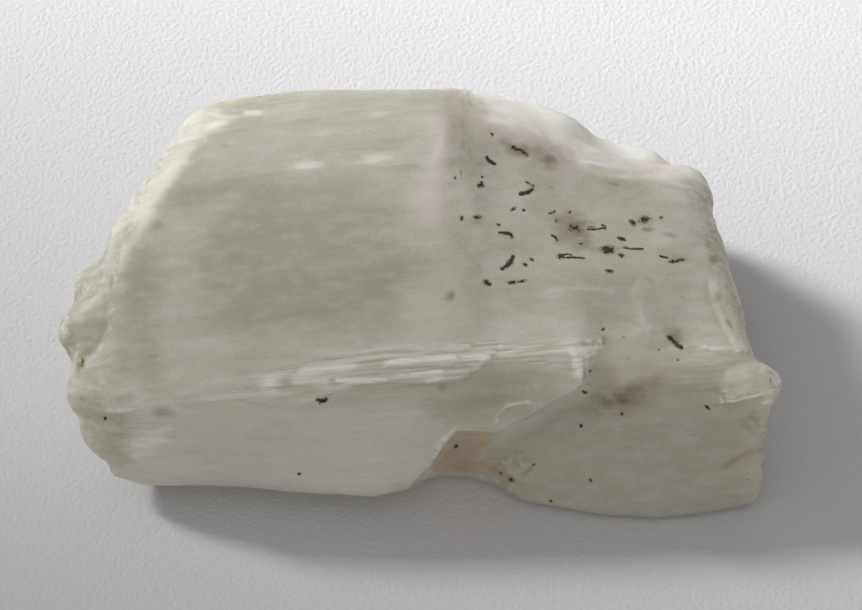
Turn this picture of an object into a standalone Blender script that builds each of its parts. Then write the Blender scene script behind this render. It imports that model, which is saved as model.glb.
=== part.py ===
"""Rough kunzite: one cleaved fragment of pale spodumene, lying on its flat underside.

The crystal's long axis runs along X, its front is at -Y, and the underside lies on Z = 0.
The blank is drawn in millimetres. Each arris is a line of corner points from the left end to the
right end: X counts from about the middle of the fragment, Y from its front foot and Z from the
surface that it lies on. The blank is then given its lumps, scoops and natural relief.
"""

import math

import bmesh
import bpy
from mathutils import Matrix, Vector, noise

# Length of the finished fragment, in metres: every other size follows it
LENGTH = 0.0316

# Size of the cells that the surface is worked in, and triangles that the finished solid keeps
GRAIN = 0.26
TRIANGLES = 8400

# Wear of the arrises, as rounds of evening out the cells
WEAR = 3

# Direction of the crystal's long axis, which its striations follow
LONG_AXIS = Vector((0.995, 0.085, 0.045)).normalized()

# Broad waviness of every face: its height and its length
WAVE_HEIGHT = 0.10
WAVE_LENGTH = 3.2

# Fine striations on the faces that run along the crystal
STRIA_HEIGHT = 0.06
STRIA_WIDTH = 0.75
STRIA_LENGTH = 8.0

# Cleavage steps on those faces: terraces that are flat, with short risers between them
TERRACE_HEIGHT = 0.09
TERRACE_WIDTH = 2.4
TERRACES = 3.0
RISER = (0.35, 0.65)

# Splintery relief of the broken ends, where the surface faces along the crystal
SPLINTER_HEIGHT = 0.20
SPLINTER_WIDTH = 1.1
ENDWISE = (0.45, 0.80)

# Offsets that keep the noise fields apart
STRIA_SEED = 3.1
TERRACE_SEED = 7.7
SPLINTER_SEED = 5.3

# Finish of the crystal
COLOUR = (0.47, 0.46, 0.39, 1.0)
ROUGHNESS = 0.35
REFRACTION = 1.66

# The arrises of the upper slab, around it from its front lip over the crest to the underside
SLAB = {
    "lip": (
        (-13.6, 0.2, 1.6), (-12.0, -0.1, 1.2), (-9.0, -0.1, 1.2), (-5.0, -0.35, 1.2),
        (-1.9, -0.7, 1.2), (-0.6, -0.4, 1.3), (0.5, 0.1, 2.3), (1.7, 0.3, 4.9), (3.3, 0.2, 4.9),
        (4.8, 0.5, 5.6), (7.3, 1.1, 7.3), (7.8, 1.7, 6.9), (9.4, 2.4, 6.8), (12.9, 3.0, 6.6),
        (14.3, 3.4, 6.2),
    ),
    "brow": (
        (-15.4, 1.8, 5.6), (-12.0, 0.7, 6.2), (-9.0, 0.8, 6.5), (-5.0, 0.95, 6.85),
        (-1.9, 1.2, 7.1), (-0.6, 1.2, 7.1), (0.5, 1.2, 7.1), (2.0, 1.5, 7.4), (3.2, 2.0, 7.8),
        (5.0, 2.1, 7.9), (7.2, 2.2, 8.0), (7.7, 2.3, 7.5), (9.4, 2.2, 7.5), (12.9, 2.4, 7.3),
        (14.8, 2.2, 6.8),
    ),
    "shoulder": (
        (-14.8, 4.3, 7.0), (-12.0, 1.1, 6.9), (-9.0, 1.2, 7.2), (-5.0, 1.5, 7.5),
        (-1.9, 1.9, 7.8), (-0.6, 2.1, 7.9), (0.5, 2.1, 7.95), (2.0, 2.3, 8.05), (3.3, 2.5, 8.1),
        (4.8, 2.6, 8.2), (7.3, 2.7, 8.2), (8.1, 2.8, 7.8), (9.8, 2.8, 7.7), (14.1, 3.2, 7.4),
        (14.5, 3.6, 7.0),
    ),
    "middle": (
        (-13.85, 8.5, 8.3), (-13.0, 6.8, 8.7), (-9.0, 7.7, 9.2), (-5.0, 7.6, 9.35),
        (-1.9, 7.5, 9.5), (-0.6, 7.45, 9.55), (0.5, 7.5, 9.6), (1.3, 7.6, 9.6), (2.7, 7.9, 9.35),
        (5.0, 8.1, 9.0), (7.0, 8.2, 8.7), (8.2, 8.2, 8.5), (9.6, 8.2, 8.25), (12.9, 7.6, 7.6),
        (13.8, 8.1, 6.8),
    ),
    "crest, front": (
        (-10.25, 14.0, 10.1), (-9.1, 12.7, 10.7), (-7.9, 13.4, 10.95), (-5.0, 13.6, 11.2),
        (-1.9, 13.5, 11.35), (-0.6, 13.5, 11.4), (0.3, 13.4, 11.4), (1.1, 13.1, 11.4),
        (2.7, 13.9, 10.4), (4.6, 13.4, 9.8), (7.0, 12.3, 8.9), (8.2, 12.0, 8.5),
        (9.4, 11.9, 8.1), (12.1, 11.9, 7.3), (13.1, 11.6, 6.6),
    ),
    "crest": (
        (-9.8, 14.5, 10.1), (-9.2, 14.3, 10.5), (-7.9, 14.4, 10.8), (-5.0, 14.6, 11.0),
        (-1.9, 14.5, 11.15), (-0.6, 14.5, 11.2), (0.9, 14.5, 11.25), (2.2, 14.6, 11.2),
        (2.8, 15.9, 9.3), (5.6, 16.5, 7.6), (7.4, 15.9, 6.8), (8.4, 15.6, 6.3),
        (9.6, 15.4, 5.8), (11.4, 14.7, 5.2), (13.1, 13.4, 5.2),
    ),
    "back": (
        (-12.5, 11.7, 5.7), (-10.6, 14.0, 5.5), (-8.5, 15.2, 5.5), (-5.0, 15.8, 5.5),
        (-1.9, 16.1, 5.5), (-0.6, 16.2, 5.5), (0.8, 16.4, 5.4), (1.9, 16.6, 5.2),
        (3.2, 16.8, 5.0), (5.6, 17.0, 4.4), (7.4, 16.6, 3.9), (8.6, 16.3, 3.6),
        (9.9, 16.0, 3.4), (11.9, 15.2, 3.2), (13.2, 13.6, 3.2),
    ),
    "heel": (
        (-12.4, 10.0, 0.8), (-11.0, 12.6, 0.7), (-8.6, 13.8, 0.7), (-5.0, 14.6, 0.6),
        (-1.9, 14.9, 0.6), (-0.6, 15.0, 0.6), (0.8, 15.2, 0.5), (1.9, 15.3, 0.5),
        (3.2, 15.5, 0.5), (5.6, 15.6, 0.5), (7.4, 15.3, 0.5), (8.6, 15.1, 0.5),
        (9.9, 14.8, 0.5), (11.9, 13.9, 0.5), (13.3, 12.3, 0.6),
    ),
    "underside, back": (
        (-11.5, 9.0, -0.5), (-10.0, 11.5, -0.5), (-8.0, 12.6, -0.5), (-5.0, 13.4, -0.5),
        (-1.9, 13.7, -0.5), (-0.6, 13.8, -0.5), (0.8, 13.9, -0.5), (1.9, 14.0, -0.5),
        (3.2, 14.2, -0.5), (5.6, 14.3, -0.5), (7.4, 14.0, -0.5), (8.6, 13.8, -0.5),
        (9.9, 13.5, -0.5), (11.5, 12.6, -0.5), (12.6, 11.0, -0.5),
    ),
    "underside, front": (
        (-12.0, 3.0, -0.5), (-11.0, 2.2, -0.5), (-9.0, 1.9, -0.5), (-5.0, 1.8, -0.5),
        (-1.9, 1.6, -0.5), (-0.6, 1.5, -0.5), (0.5, 1.3, -0.5), (1.7, 1.3, -0.5), (3.3, 1.3, -0.5),
        (5.0, 1.4, -0.5), (7.5, 1.9, -0.5), (8.6, 2.1, -0.5), (10.5, 2.4, -0.5),
        (12.5, 2.8, -0.5), (13.6, 3.4, -0.5),
    ),
}
SLAB_ENDS = ((-14.8, 4.8, 4.0), (14.4, 6.0, 3.8))

# The arrises of the foot, the block that comes out under the slab's lip at the right
FOOT = {
    "sill": (
        (0.7, 0.8, 0.5), (2.1, 0.9, 0.4), (3.4, 0.5, 0.4), (4.5, -0.4, 0.4), (6.0, -0.7, 0.4),
        (8.1, -1.0, 0.3), (10.5, -1.1, 0.3), (12.5, -1.0, 0.3), (15.2, -0.6, 0.4),
    ),
    "belly": (
        (0.85, 1.0, 0.7), (2.2, 1.0, 1.2), (3.55, 0.6, 2.6), (4.9, 0.2, 3.2), (6.3, 0.1, 3.3),
        (8.1, 0.1, 3.6), (10.5, 0.1, 3.7), (12.5, 0.3, 3.8), (15.3, 0.6, 3.2),
    ),
    "brow": (
        (1.0, 1.1, 0.9), (2.3, 1.1, 1.9), (3.3, 1.2, 3.7), (4.8, 1.05, 5.0), (6.4, 1.3, 6.1),
        (7.9, 1.4, 7.0), (10.5, 1.75, 7.1), (12.5, 1.9, 7.1), (15.4, 1.7, 6.3),
    ),
    "top": (
        (1.2, 2.2, 1.0), (2.4, 2.4, 2.2), (3.4, 2.4, 4.2), (4.9, 2.4, 5.4), (6.4, 2.6, 6.6),
        (7.9, 3.0, 7.5), (10.5, 3.4, 7.4), (12.5, 3.6, 7.2), (14.6, 3.4, 6.4),
    ),
    "underside, back": (
        (1.2, 2.4, -0.5), (2.4, 3.0, -0.5), (3.4, 4.0, -0.5), (4.9, 5.0, -0.5), (6.4, 5.0, -0.5),
        (7.9, 5.0, -0.5), (10.5, 5.0, -0.5), (12.5, 5.0, -0.5), (14.0, 4.6, -0.5),
    ),
    "underside, front": (
        (1.0, 1.4, -0.5), (2.3, 1.4, -0.5), (3.6, 1.0, -0.5), (4.9, 0.3, -0.5), (6.2, 0.1, -0.5),
        (8.1, -0.2, -0.5), (10.5, -0.3, -0.5), (12.4, -0.2, -0.5), (14.6, 0.3, -0.5),
    ),
}
FOOT_ENDS = ((1.1, 1.6, 0.5), (15.3, 2.0, 3.4))

# Rounded shell-like lumps left where the crystal broke: middle and half sizes
LUMPS = (
    ((-13.2, 6.8, 6.6), (2.05, 1.2, 1.5)),
    ((-13.3, 5.8, 5.9), (2.05, 1.1, 1.5)),
    ((-14.35, 4.95, 5.9), (1.45, 1.45, 1.75)),
    ((-12.75, 9.2, 7.8), (0.95, 0.7, 0.7)),
    ((-12.85, 1.6, 3.4), (2.1, 1.35, 1.8)),
    ((5.4, 14.4, 6.6), (2.6, 2.2, 1.9)),
    ((9.6, 13.7, 4.8), (2.4, 2.1, 1.8)),
    ((11.7, 12.6, 5.5), (1.7, 1.7, 1.5)),
    ((14.4, 2.0, 6.1), (1.45, 1.05, 1.25)),
    ((14.5, 0.8, 1.6), (0.9, 1.0, 1.0)),
    ((14.4, 1.3, 3.6), (0.9, 1.0, 1.0)),
)

# Shallow shell-like scoops: middle and radius of the ball that leaves each
SCOOPS = (
    ((11.8, 2.6, 13.1), 5.8),
)


def clear_scene():
    """Empties the scene that the script starts from."""
    for obj in list(bpy.data.objects):
        bpy.data.objects.remove(obj)


def add_object(name, bm):
    """Makes an object from a mesh in progress."""
    mesh = bpy.data.meshes.new(name)
    bmesh.ops.triangulate(bm, faces=bm.faces)
    bmesh.ops.recalc_face_normals(bm, faces=bm.faces)
    bm.to_mesh(mesh)
    bm.free()
    obj = bpy.data.objects.new(name, mesh)
    bpy.context.scene.collection.objects.link(obj)
    return obj


def block(name, arrises, ends):
    """A solid drawn over its arrises, closed by a point at each end."""
    bm = bmesh.new()
    rails = [[bm.verts.new(corner) for corner in arris] for arris in arrises.values()]
    pairs = list(zip(rails, rails[1:] + rails[:1]))
    for lower, upper in pairs:
        for k in range(len(lower) - 1):
            bm.faces.new((lower[k], lower[k + 1], upper[k + 1], upper[k]))
    for end, point in zip((0, -1), ends):
        tip = bm.verts.new(point)
        for lower, upper in pairs:
            bm.faces.new((lower[end], upper[end], tip))
    return add_object(name, bm)


def ellipsoid(name, middle, half_sizes):
    """A rounded lump."""
    bm = bmesh.new()
    matrix = Matrix.Translation(Vector(middle)) @ Matrix.Diagonal((*half_sizes, 1.0))
    bmesh.ops.create_icosphere(bm, subdivisions=3, radius=1.0, matrix=matrix)
    return add_object(name, bm)


def bake(body):
    """Turns the body's modifiers into its mesh."""
    graph = bpy.context.evaluated_depsgraph_get()
    body.data = bpy.data.meshes.new_from_object(body.evaluated_get(graph))
    body.modifiers.clear()


def combine(body, tool, operation):
    """Joins a tool to the body, or takes it away, and keeps only the body."""
    modifier = body.modifiers.new("Combine", "BOOLEAN")
    modifier.operation = operation
    modifier.solver = "EXACT"
    modifier.object = tool
    bake(body)
    bpy.data.objects.remove(tool)


def ramp(value, low, high):
    """Goes smoothly from 0 at low to 1 at high."""
    t = min(1.0, max(0.0, (value - low) / (high - low)))
    return t * t * (3.0 - 2.0 * t)


def drawn_out(point, width, length, seed):
    """The place in a noise field that is drawn out along the long axis."""
    along = point.dot(LONG_AXIS)
    across = point - along * LONG_AXIS
    return across / width + LONG_AXIS * (along / length) + Vector((seed, seed, seed))


def terraced(value):
    """A value between -1 and 1, turned into flat levels with short risers."""
    level = math.floor(value * TERRACES)
    return (level + ramp(value * TERRACES - level, *RISER)) / TERRACES


def relief(point, normal):
    """How far the surface stands out at a point of the blank."""
    endwise = ramp(abs(normal.dot(LONG_AXIS)), *ENDWISE)
    stria = noise.noise(drawn_out(point, STRIA_WIDTH, STRIA_LENGTH, STRIA_SEED))
    terrace = terraced(noise.noise(drawn_out(point, TERRACE_WIDTH, STRIA_LENGTH, TERRACE_SEED)))
    splinter = noise.noise(point / SPLINTER_WIDTH + Vector((SPLINTER_SEED,) * 3))
    lengthwise = STRIA_HEIGHT * stria + TERRACE_HEIGHT * terrace
    height = lengthwise + endwise * (SPLINTER_HEIGHT * splinter - lengthwise)
    return height + WAVE_HEIGHT * noise.noise(point / WAVE_LENGTH)


def work_surface(body):
    """Gives the body its natural relief."""
    normals = [vertex.normal.copy() for vertex in body.data.vertices]
    for vertex, normal in zip(body.data.vertices, normals):
        vertex.co += normal * relief(vertex.co, normal)


def flatten_underside(body):
    """Cuts the body level at Z = 0, so that it rests on a flat face."""
    bm = bmesh.new()
    bm.from_mesh(body.data)
    cut = bmesh.ops.bisect_plane(
        bm,
        geom=bm.verts[:] + bm.edges[:] + bm.faces[:],
        plane_co=(0.0, 0.0, 0.0),
        plane_no=(0.0, 0.0, -1.0),
        clear_outer=True,
    )
    rim = [item for item in cut["geom_cut"] if isinstance(item, bmesh.types.BMEdge)]
    bmesh.ops.contextual_create(bm, geom=rim)
    bmesh.ops.triangulate(bm, faces=bm.faces)
    bmesh.ops.recalc_face_normals(bm, faces=bm.faces)
    bm.to_mesh(body.data)
    bm.free()


def settle(body):
    """Brings the body to its real length, with its origin below the middle of its box."""
    xs = [vertex.co.x for vertex in body.data.vertices]
    ys = [vertex.co.y for vertex in body.data.vertices]
    scale = LENGTH / (max(xs) - min(xs))
    middle = Vector(((max(xs) + min(xs)) / 2.0, (max(ys) + min(ys)) / 2.0, 0.0))
    for vertex in body.data.vertices:
        vertex.co = (vertex.co - middle) * scale


def finish():
    """The pale crystal's finish."""
    material = bpy.data.materials.new("crystal")
    material.use_nodes = True
    shader = material.node_tree.nodes["Principled BSDF"]
    shader.inputs["Base Color"].default_value = COLOUR
    shader.inputs["Roughness"].default_value = ROUGHNESS
    shader.inputs["Metallic"].default_value = 0.0
    shader.inputs["IOR"].default_value = REFRACTION
    return material


def main():
    """Builds the fragment."""
    clear_scene()
    body = block("crystal", SLAB, SLAB_ENDS)
    combine(body, block("foot", FOOT, FOOT_ENDS), "UNION")
    for middle, half_sizes in LUMPS:
        combine(body, ellipsoid("lump", middle, half_sizes), "UNION")
    for middle, radius in SCOOPS:
        combine(body, ellipsoid("scoop", middle, (radius,) * 3), "DIFFERENCE")

    cells = body.modifiers.new("Cells", "REMESH")
    cells.mode = "VOXEL"
    cells.voxel_size = GRAIN
    wear = body.modifiers.new("Wear", "SMOOTH")
    wear.iterations = WEAR
    bake(body)
    work_surface(body)

    facets = body.modifiers.new("Facets", "DECIMATE")
    facets.ratio = TRIANGLES / (2.0 * len(body.data.polygons))
    bake(body)
    flatten_underside(body)
    settle(body)
    body.data.materials.append(finish())


main()
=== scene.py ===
"""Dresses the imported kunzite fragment: its fine relief, its stains and its milky, half-clear body.

Marks on the drawing plane and names that end in _mm are in millimetres. Other lengths are in metres.
"""

import logging
import math
from dataclasses import dataclass, field, replace
from enum import Enum

import bpy
import numpy as np
from mathutils import Euler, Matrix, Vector
from mathutils.bvhtree import BVHTree


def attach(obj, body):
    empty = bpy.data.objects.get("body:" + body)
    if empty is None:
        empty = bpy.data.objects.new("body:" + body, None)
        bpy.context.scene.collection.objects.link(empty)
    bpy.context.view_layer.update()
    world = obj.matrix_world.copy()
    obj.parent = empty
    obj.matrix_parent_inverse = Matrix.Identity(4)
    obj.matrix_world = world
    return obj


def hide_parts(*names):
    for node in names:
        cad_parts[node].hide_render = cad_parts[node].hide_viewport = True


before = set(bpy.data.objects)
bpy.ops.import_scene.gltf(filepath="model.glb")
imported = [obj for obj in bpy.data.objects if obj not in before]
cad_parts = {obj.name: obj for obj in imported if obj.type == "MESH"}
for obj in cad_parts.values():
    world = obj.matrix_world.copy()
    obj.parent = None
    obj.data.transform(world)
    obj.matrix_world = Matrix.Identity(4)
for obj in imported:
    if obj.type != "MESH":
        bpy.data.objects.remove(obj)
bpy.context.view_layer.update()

LOG = logging.getLogger("kunzite")
MM = 0.001

Line = tuple[tuple[float, float], ...]
Triple = tuple[float, float, float]
Piece = bpy.types.Object
Node = bpy.types.Node
Socket = bpy.types.NodeSocket

# Direction of the crystal's long axis, which its striations follow, and the turn that lays it along X
LONG_AXIS = np.array((0.995, 0.085, 0.045))
LONG_AXIS = LONG_AXIS / np.linalg.norm(LONG_AXIS)
AXIS_TURN = (0.0, 0.045, -0.085)

# Odd numbers that scatter the bits of a cell's place, its field's seed and the draw
CELL_STEPS = (73856093, 19349663, 83492791)
SEED_STEP = 2654435761
SALT_STEP = 40503
SCATTER = 73244475
WORD = 0xFFFFFFFF
HALF_WORD = 2147483648.0

# Gain that brings the noise to about -1 to 1, and how far apart two fields are read
NOISE_GAIN = 1.5
FIELD_SHIFT = 7.3

# Width above which a shape gets its full wobble, and the width that an area counts for
WOBBLE_MM = 0.6
BROAD_MM = 1.0


class Tint(Enum):
    """What is laid on the crystal's skin, each with the name of its attribute."""

    OXIDE = "oxide"
    RUST = "rust"
    BLUSH = "blush"
    # White bloom of cracks, with painted highlights and glints
    MILK = "milk"
    # Deeper, clearer crystal, with painted shade along steps and cracks and over the lobes and the knob
    DEEP = "deep"
    # Silky places, whose colour carries painted sheen streaks
    SILK = "silk"
    AMBER = "amber"
    BROKEN = "broken"
    # Painted glow of light through the thin edges
    THIN = "thin"


class Pattern(Enum):
    """The noise fields of the skin, each with the seed that tells it from the others."""

    STRIAE = 1
    RIBS = 2
    TERRACES = 3
    SPLINTERS = 4
    CRUMBS = 5
    SHELLS = 6
    PITS = 7
    SWELL = 8
    RAGGED = 11
    CLOUD = 13
    WISP = 14
    STREAK = 15
    DRIFT = 16
    EDDY = 17
    HAZE = 18
    DUST = 19


@dataclass(frozen=True)
class Mark:
    """A soft-edged oval laid on the surface, placed on the drawing plane.

    Args:
        across: Place to the right of the plane's middle, in millimetres.
        up: Place above the plane's middle, in millimetres.
        length: Full length of the oval, in millimetres.
        width: Full width of the oval, in millimetres.
        turn: Turn of the oval, in degrees, anticlockwise.
        strength: How strong it is in its middle, 0 to 1.
    """

    across: float
    up: float
    length: float
    width: float
    turn: float = 0.0
    strength: float = 1.0


@dataclass(frozen=True)
class Stroke:
    """A soft-edged line through points of the drawing plane.

    Args:
        points: Corners of the line, each across and up in millimetres.
        width: Full width of the line, in millimetres.
        strength: How strong it is along its middle, 0 to 1.
    """

    points: Line
    width: float
    strength: float = 1.0


@dataclass(frozen=True)
class Area:
    """A soft-edged patch of the drawing plane.

    Args:
        corners: Its corners in order, each across and up in millimetres.
        soft: Width of its soft edge, in millimetres.
        strength: How strong it is inside, 0 to 1.
    """

    corners: Line
    soft: float = 0.6
    strength: float = 1.0


Shape = Mark | Stroke | Area


@dataclass(frozen=True)
class Ledge:
    """A cleavage step: the skin stands out to the left of a line, and falls back away from it.

    Args:
        points: Corners of the line, each across and up in millimetres.
        height: How far the skin stands out at the line, in millimetres.
        fade: Over what distance it falls back to the face, in millimetres.
    """

    points: Line
    height: float
    fade: float


@dataclass(frozen=True)
class DrawingPlane:
    """The leaning plane that marks are drawn on before they are laid on the faces behind it."""

    middle_mm: Triple = (0.597, -0.839, 5.0)
    lean_deg: float = 55.0
    reach_mm: float = 150.0

    def axes(self) -> tuple[np.ndarray, np.ndarray, np.ndarray]:
        """Gives the directions across, up and away from the eye.

        Returns:
            Three unit vectors.
        """
        lean = math.radians(self.lean_deg)
        across = np.array((1.0, 0.0, 0.0))
        up = np.array((0.0, math.sin(lean), math.cos(lean)))
        away = np.array((0.0, math.cos(lean), -math.sin(lean)))
        return across, up, away

    def eye(self) -> np.ndarray:
        """Gives the point that marks are projected from, in millimetres."""
        return np.array(self.middle_mm) - self.axes()[2] * self.reach_mm

    def place(self, points: np.ndarray) -> np.ndarray:
        """Projects points onto the plane.

        Args:
            points: Points in millimetres, one a row.

        Returns:
            Across and up of each point, in millimetres.
        """
        across, up, away = self.axes()
        offset = points - np.array(self.middle_mm)
        shrink = self.reach_mm / (self.reach_mm + offset @ away)
        return np.stack((offset @ across * shrink, offset @ up * shrink), axis=1)

    def facing(self, points: np.ndarray, normals: np.ndarray) -> np.ndarray:
        """Tells how squarely each point faces the eye.

        Args:
            points: Points in millimetres, one a row.
            normals: Their unit normals.

        Returns:
            Cosine between each normal and the way to the eye.
        """
        way = self.eye() - points
        return (normals * way).sum(axis=1) / np.linalg.norm(way, axis=1)


@dataclass(frozen=True)
class Grain:
    """A repeatable noise field.

    Args:
        pattern: The field's name, which gives its seed.
    """

    pattern: Pattern

    def _corner(self, cell: np.ndarray, salt: int) -> np.ndarray:
        """Gives a fixed random number for each whole-number cell.

        Args:
            cell: Whole-number coordinates, one cell a row.
            salt: Number that tells one draw from another.

        Returns:
            Numbers from -1 to 1.
        """
        mixed = cell[:, 0] * CELL_STEPS[0] ^ cell[:, 1] * CELL_STEPS[1] ^ cell[:, 2] * CELL_STEPS[2]
        mixed = (mixed ^ (self.pattern.value * SEED_STEP + salt * SALT_STEP)) & WORD
        for _ in range(2):
            mixed = (mixed ^ (mixed >> 16)) * SCATTER & WORD
        mixed = mixed ^ (mixed >> 16)
        return mixed / HALF_WORD - 1.0

    def at(self, points: np.ndarray) -> np.ndarray:
        """Reads the field.

        Args:
            points: Places in the field, one a row, about one bump a unit.

        Returns:
            Values from about -1 to 1.
        """
        base = np.floor(points).astype(np.int64)
        part = points - base
        fade = part * part * part * (part * (part * 6.0 - 15.0) + 10.0)
        total = np.zeros(len(points))
        for corner in range(8):
            step = np.array((corner & 1, corner >> 1 & 1, corner >> 2 & 1))
            cell = base + step
            slope = np.stack([self._corner(cell, salt) for salt in range(3)], axis=1)
            weight = np.where(step, fade, 1.0 - fade).prod(axis=1)
            total += weight * ((part - step) * slope).sum(axis=1)
        return total * NOISE_GAIN

    def drawn_out(self, points: np.ndarray, width: float, length: float) -> np.ndarray:
        """Reads the field drawn out along the crystal.

        Args:
            points: Points in millimetres, one a row.
            width: Size of a bump across the crystal, in millimetres.
            length: Size of a bump along the crystal, in millimetres.

        Returns:
            Values from about -1 to 1.
        """
        along = points @ LONG_AXIS
        across = points - along[:, None] * LONG_AXIS
        shift = self.pattern.value * FIELD_SHIFT
        return self.at(across / width + LONG_AXIS * (along / length)[:, None] + shift)


@dataclass(frozen=True)
class Ripple:
    """A pattern drawn out along the crystal, and how high it stands on each kind of skin.

    Args:
        pattern: Its noise field.
        width: Size of a bump across the crystal, in millimetres.
        length: Size of a bump along the crystal, in millimetres.
        heights: Its heights in millimetres on the smooth, speckled, silky, plain and other skin.
    """

    pattern: Pattern
    width: float
    length: float
    heights: tuple[float, float, float, float, float]

    def field(self, points: np.ndarray) -> np.ndarray:
        """Reads the pattern at points in millimetres, as values from about -1 to 1."""
        return Grain(self.pattern).drawn_out(points, self.width, self.length)

    def spread(self, skins: tuple[np.ndarray, ...]) -> np.ndarray:
        """Spreads the heights over the kinds of skin, given the share of each kind at each place."""
        return sum(height * share for height, share in zip(self.heights, skins))


STRIAE = Ripple(Pattern.STRIAE, 0.26, 5.0, (0.004, 0.010, 0.028, 0.008, 0.022))
RIBS = Ripple(Pattern.RIBS, 0.55, 8.0, (0.008, 0.016, 0.046, 0.014, 0.032))
TERRACES = Ripple(Pattern.TERRACES, 1.4, 11.0, (0.008, 0.022, 0.055, 0.018, 0.090))
SWELL = Ripple(Pattern.SWELL, 1.6, 3.5, (0.060, 0.050, 0.0, 0.070, 0.030))
PITS = Ripple(Pattern.PITS, 0.3, 0.6, (0.0, 0.010, 0.0, 0.004, 0.016))


def ramp(value: np.ndarray, low: float, high: float) -> np.ndarray:
    """Goes smoothly from 0 at low to 1 at high.

    Args:
        value: Numbers to read.
        low: Where the ramp begins.
        high: Where the ramp ends.

    Returns:
        Numbers from 0 to 1.
    """
    part = np.clip((value - low) / (high - low), 0.0, 1.0)
    return part * part * (3.0 - 2.0 * part)


def terraced(value: np.ndarray, levels: float, riser: float) -> np.ndarray:
    """Turns a smooth field into flat levels with short risers.

    Args:
        value: Numbers from about -1 to 1.
        levels: How many levels there are in each unit.
        riser: Share of each level that its riser takes.

    Returns:
        Numbers from about -1 to 1.
    """
    scaled = value * levels
    level = np.floor(scaled)
    return (level + ramp(scaled - level, 0.5 - riser / 2.0, 0.5 + riser / 2.0)) / levels


def distance_to(places: np.ndarray, points: Line) -> np.ndarray:
    """Measures how far each place lies from a line through points.

    Args:
        places: Across and up of each place, in millimetres.
        points: Corners of the line.

    Returns:
        Distances in millimetres.
    """
    nearest = np.full(len(places), np.inf)
    for start, end in zip(points, points[1:]):
        a, b = np.array(start), np.array(end)
        share = np.clip((places - a) @ (b - a) / ((b - a) @ (b - a)), 0.0, 1.0)
        nearest = np.minimum(nearest, np.linalg.norm(places - a - share[:, None] * (b - a), axis=1))
    return nearest


def left_of(places: np.ndarray, points: Line) -> np.ndarray:
    """Measures how far each place lies to the left of a line through points.

    Args:
        places: Across and up of each place, in millimetres.
        points: Corners of the line, in the direction it is walked.

    Returns:
        Distances in millimetres, negative to the right of the line.
    """
    nearest = np.full(len(places), np.inf)
    signed = np.zeros(len(places))
    for start, end in zip(points, points[1:]):
        a, b = np.array(start), np.array(end)
        way = b - a
        offset = places - a
        share = np.clip(offset @ way / (way @ way), 0.0, 1.0)
        apart = np.linalg.norm(offset - share[:, None] * way, axis=1)
        side = np.sign(way[0] * offset[:, 1] - way[1] * offset[:, 0])
        closer = apart < nearest
        nearest = np.where(closer, apart, nearest)
        signed = np.where(closer, side * apart, signed)
    return signed


def inside(places: np.ndarray, corners: Line) -> np.ndarray:
    """Tells which places lie inside a closed outline.

    Args:
        places: Across and up of each place, in millimetres.
        corners: Corners of the outline, in order.

    Returns:
        True for each place inside.
    """
    across, up = places[:, 0], places[:, 1]
    crossed = np.zeros(len(places), dtype=bool)
    for (x0, y0), (x1, y1) in zip(corners, corners[1:] + corners[:1]):
        spans = (y0 > up) != (y1 > up)
        if y1 != y0:
            crossed ^= spans & (across < (x1 - x0) * (up - y0) / (y1 - y0) + x0)
    return crossed


def widened(shape: Mark | Stroke, rim: float) -> Mark | Stroke:
    """Makes a mark or stroke larger by a rim all round.

    Args:
        shape: The mark or stroke.
        rim: Width of the rim, in millimetres.

    Returns:
        The larger shape.
    """
    if isinstance(shape, Mark):
        return replace(shape, length=shape.length + 2.0 * rim, width=shape.width + 2.0 * rim)
    return replace(shape, width=shape.width + 2.0 * rim)


def breadth(shape: Shape) -> float:
    """Gives the width of a shape, in millimetres: an area counts as broad."""
    return BROAD_MM if isinstance(shape, Area) else shape.width


def coverage(places: np.ndarray, shape: Shape) -> np.ndarray:
    """Tells how far inside a shape each place lies.

    Args:
        places: Across and up of each place, in millimetres.
        shape: The mark, stroke or area.

    Returns:
        1 well inside the shape, 0 on its edge and below 0 outside.
    """
    if isinstance(shape, Area):
        edge = distance_to(places, shape.corners + shape.corners[:1])
        return np.where(inside(places, shape.corners), edge, -edge) / shape.soft + 0.5
    if isinstance(shape, Mark):
        turn = math.radians(shape.turn)
        offset = places - np.array((shape.across, shape.up))
        along = offset @ np.array((math.cos(turn), math.sin(turn))) / (shape.length / 2.0)
        over = offset @ np.array((-math.sin(turn), math.cos(turn))) / (shape.width / 2.0)
        return 1.0 - np.hypot(along, over)
    return 1.0 - distance_to(places, shape.points) / (shape.width / 2.0)


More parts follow.
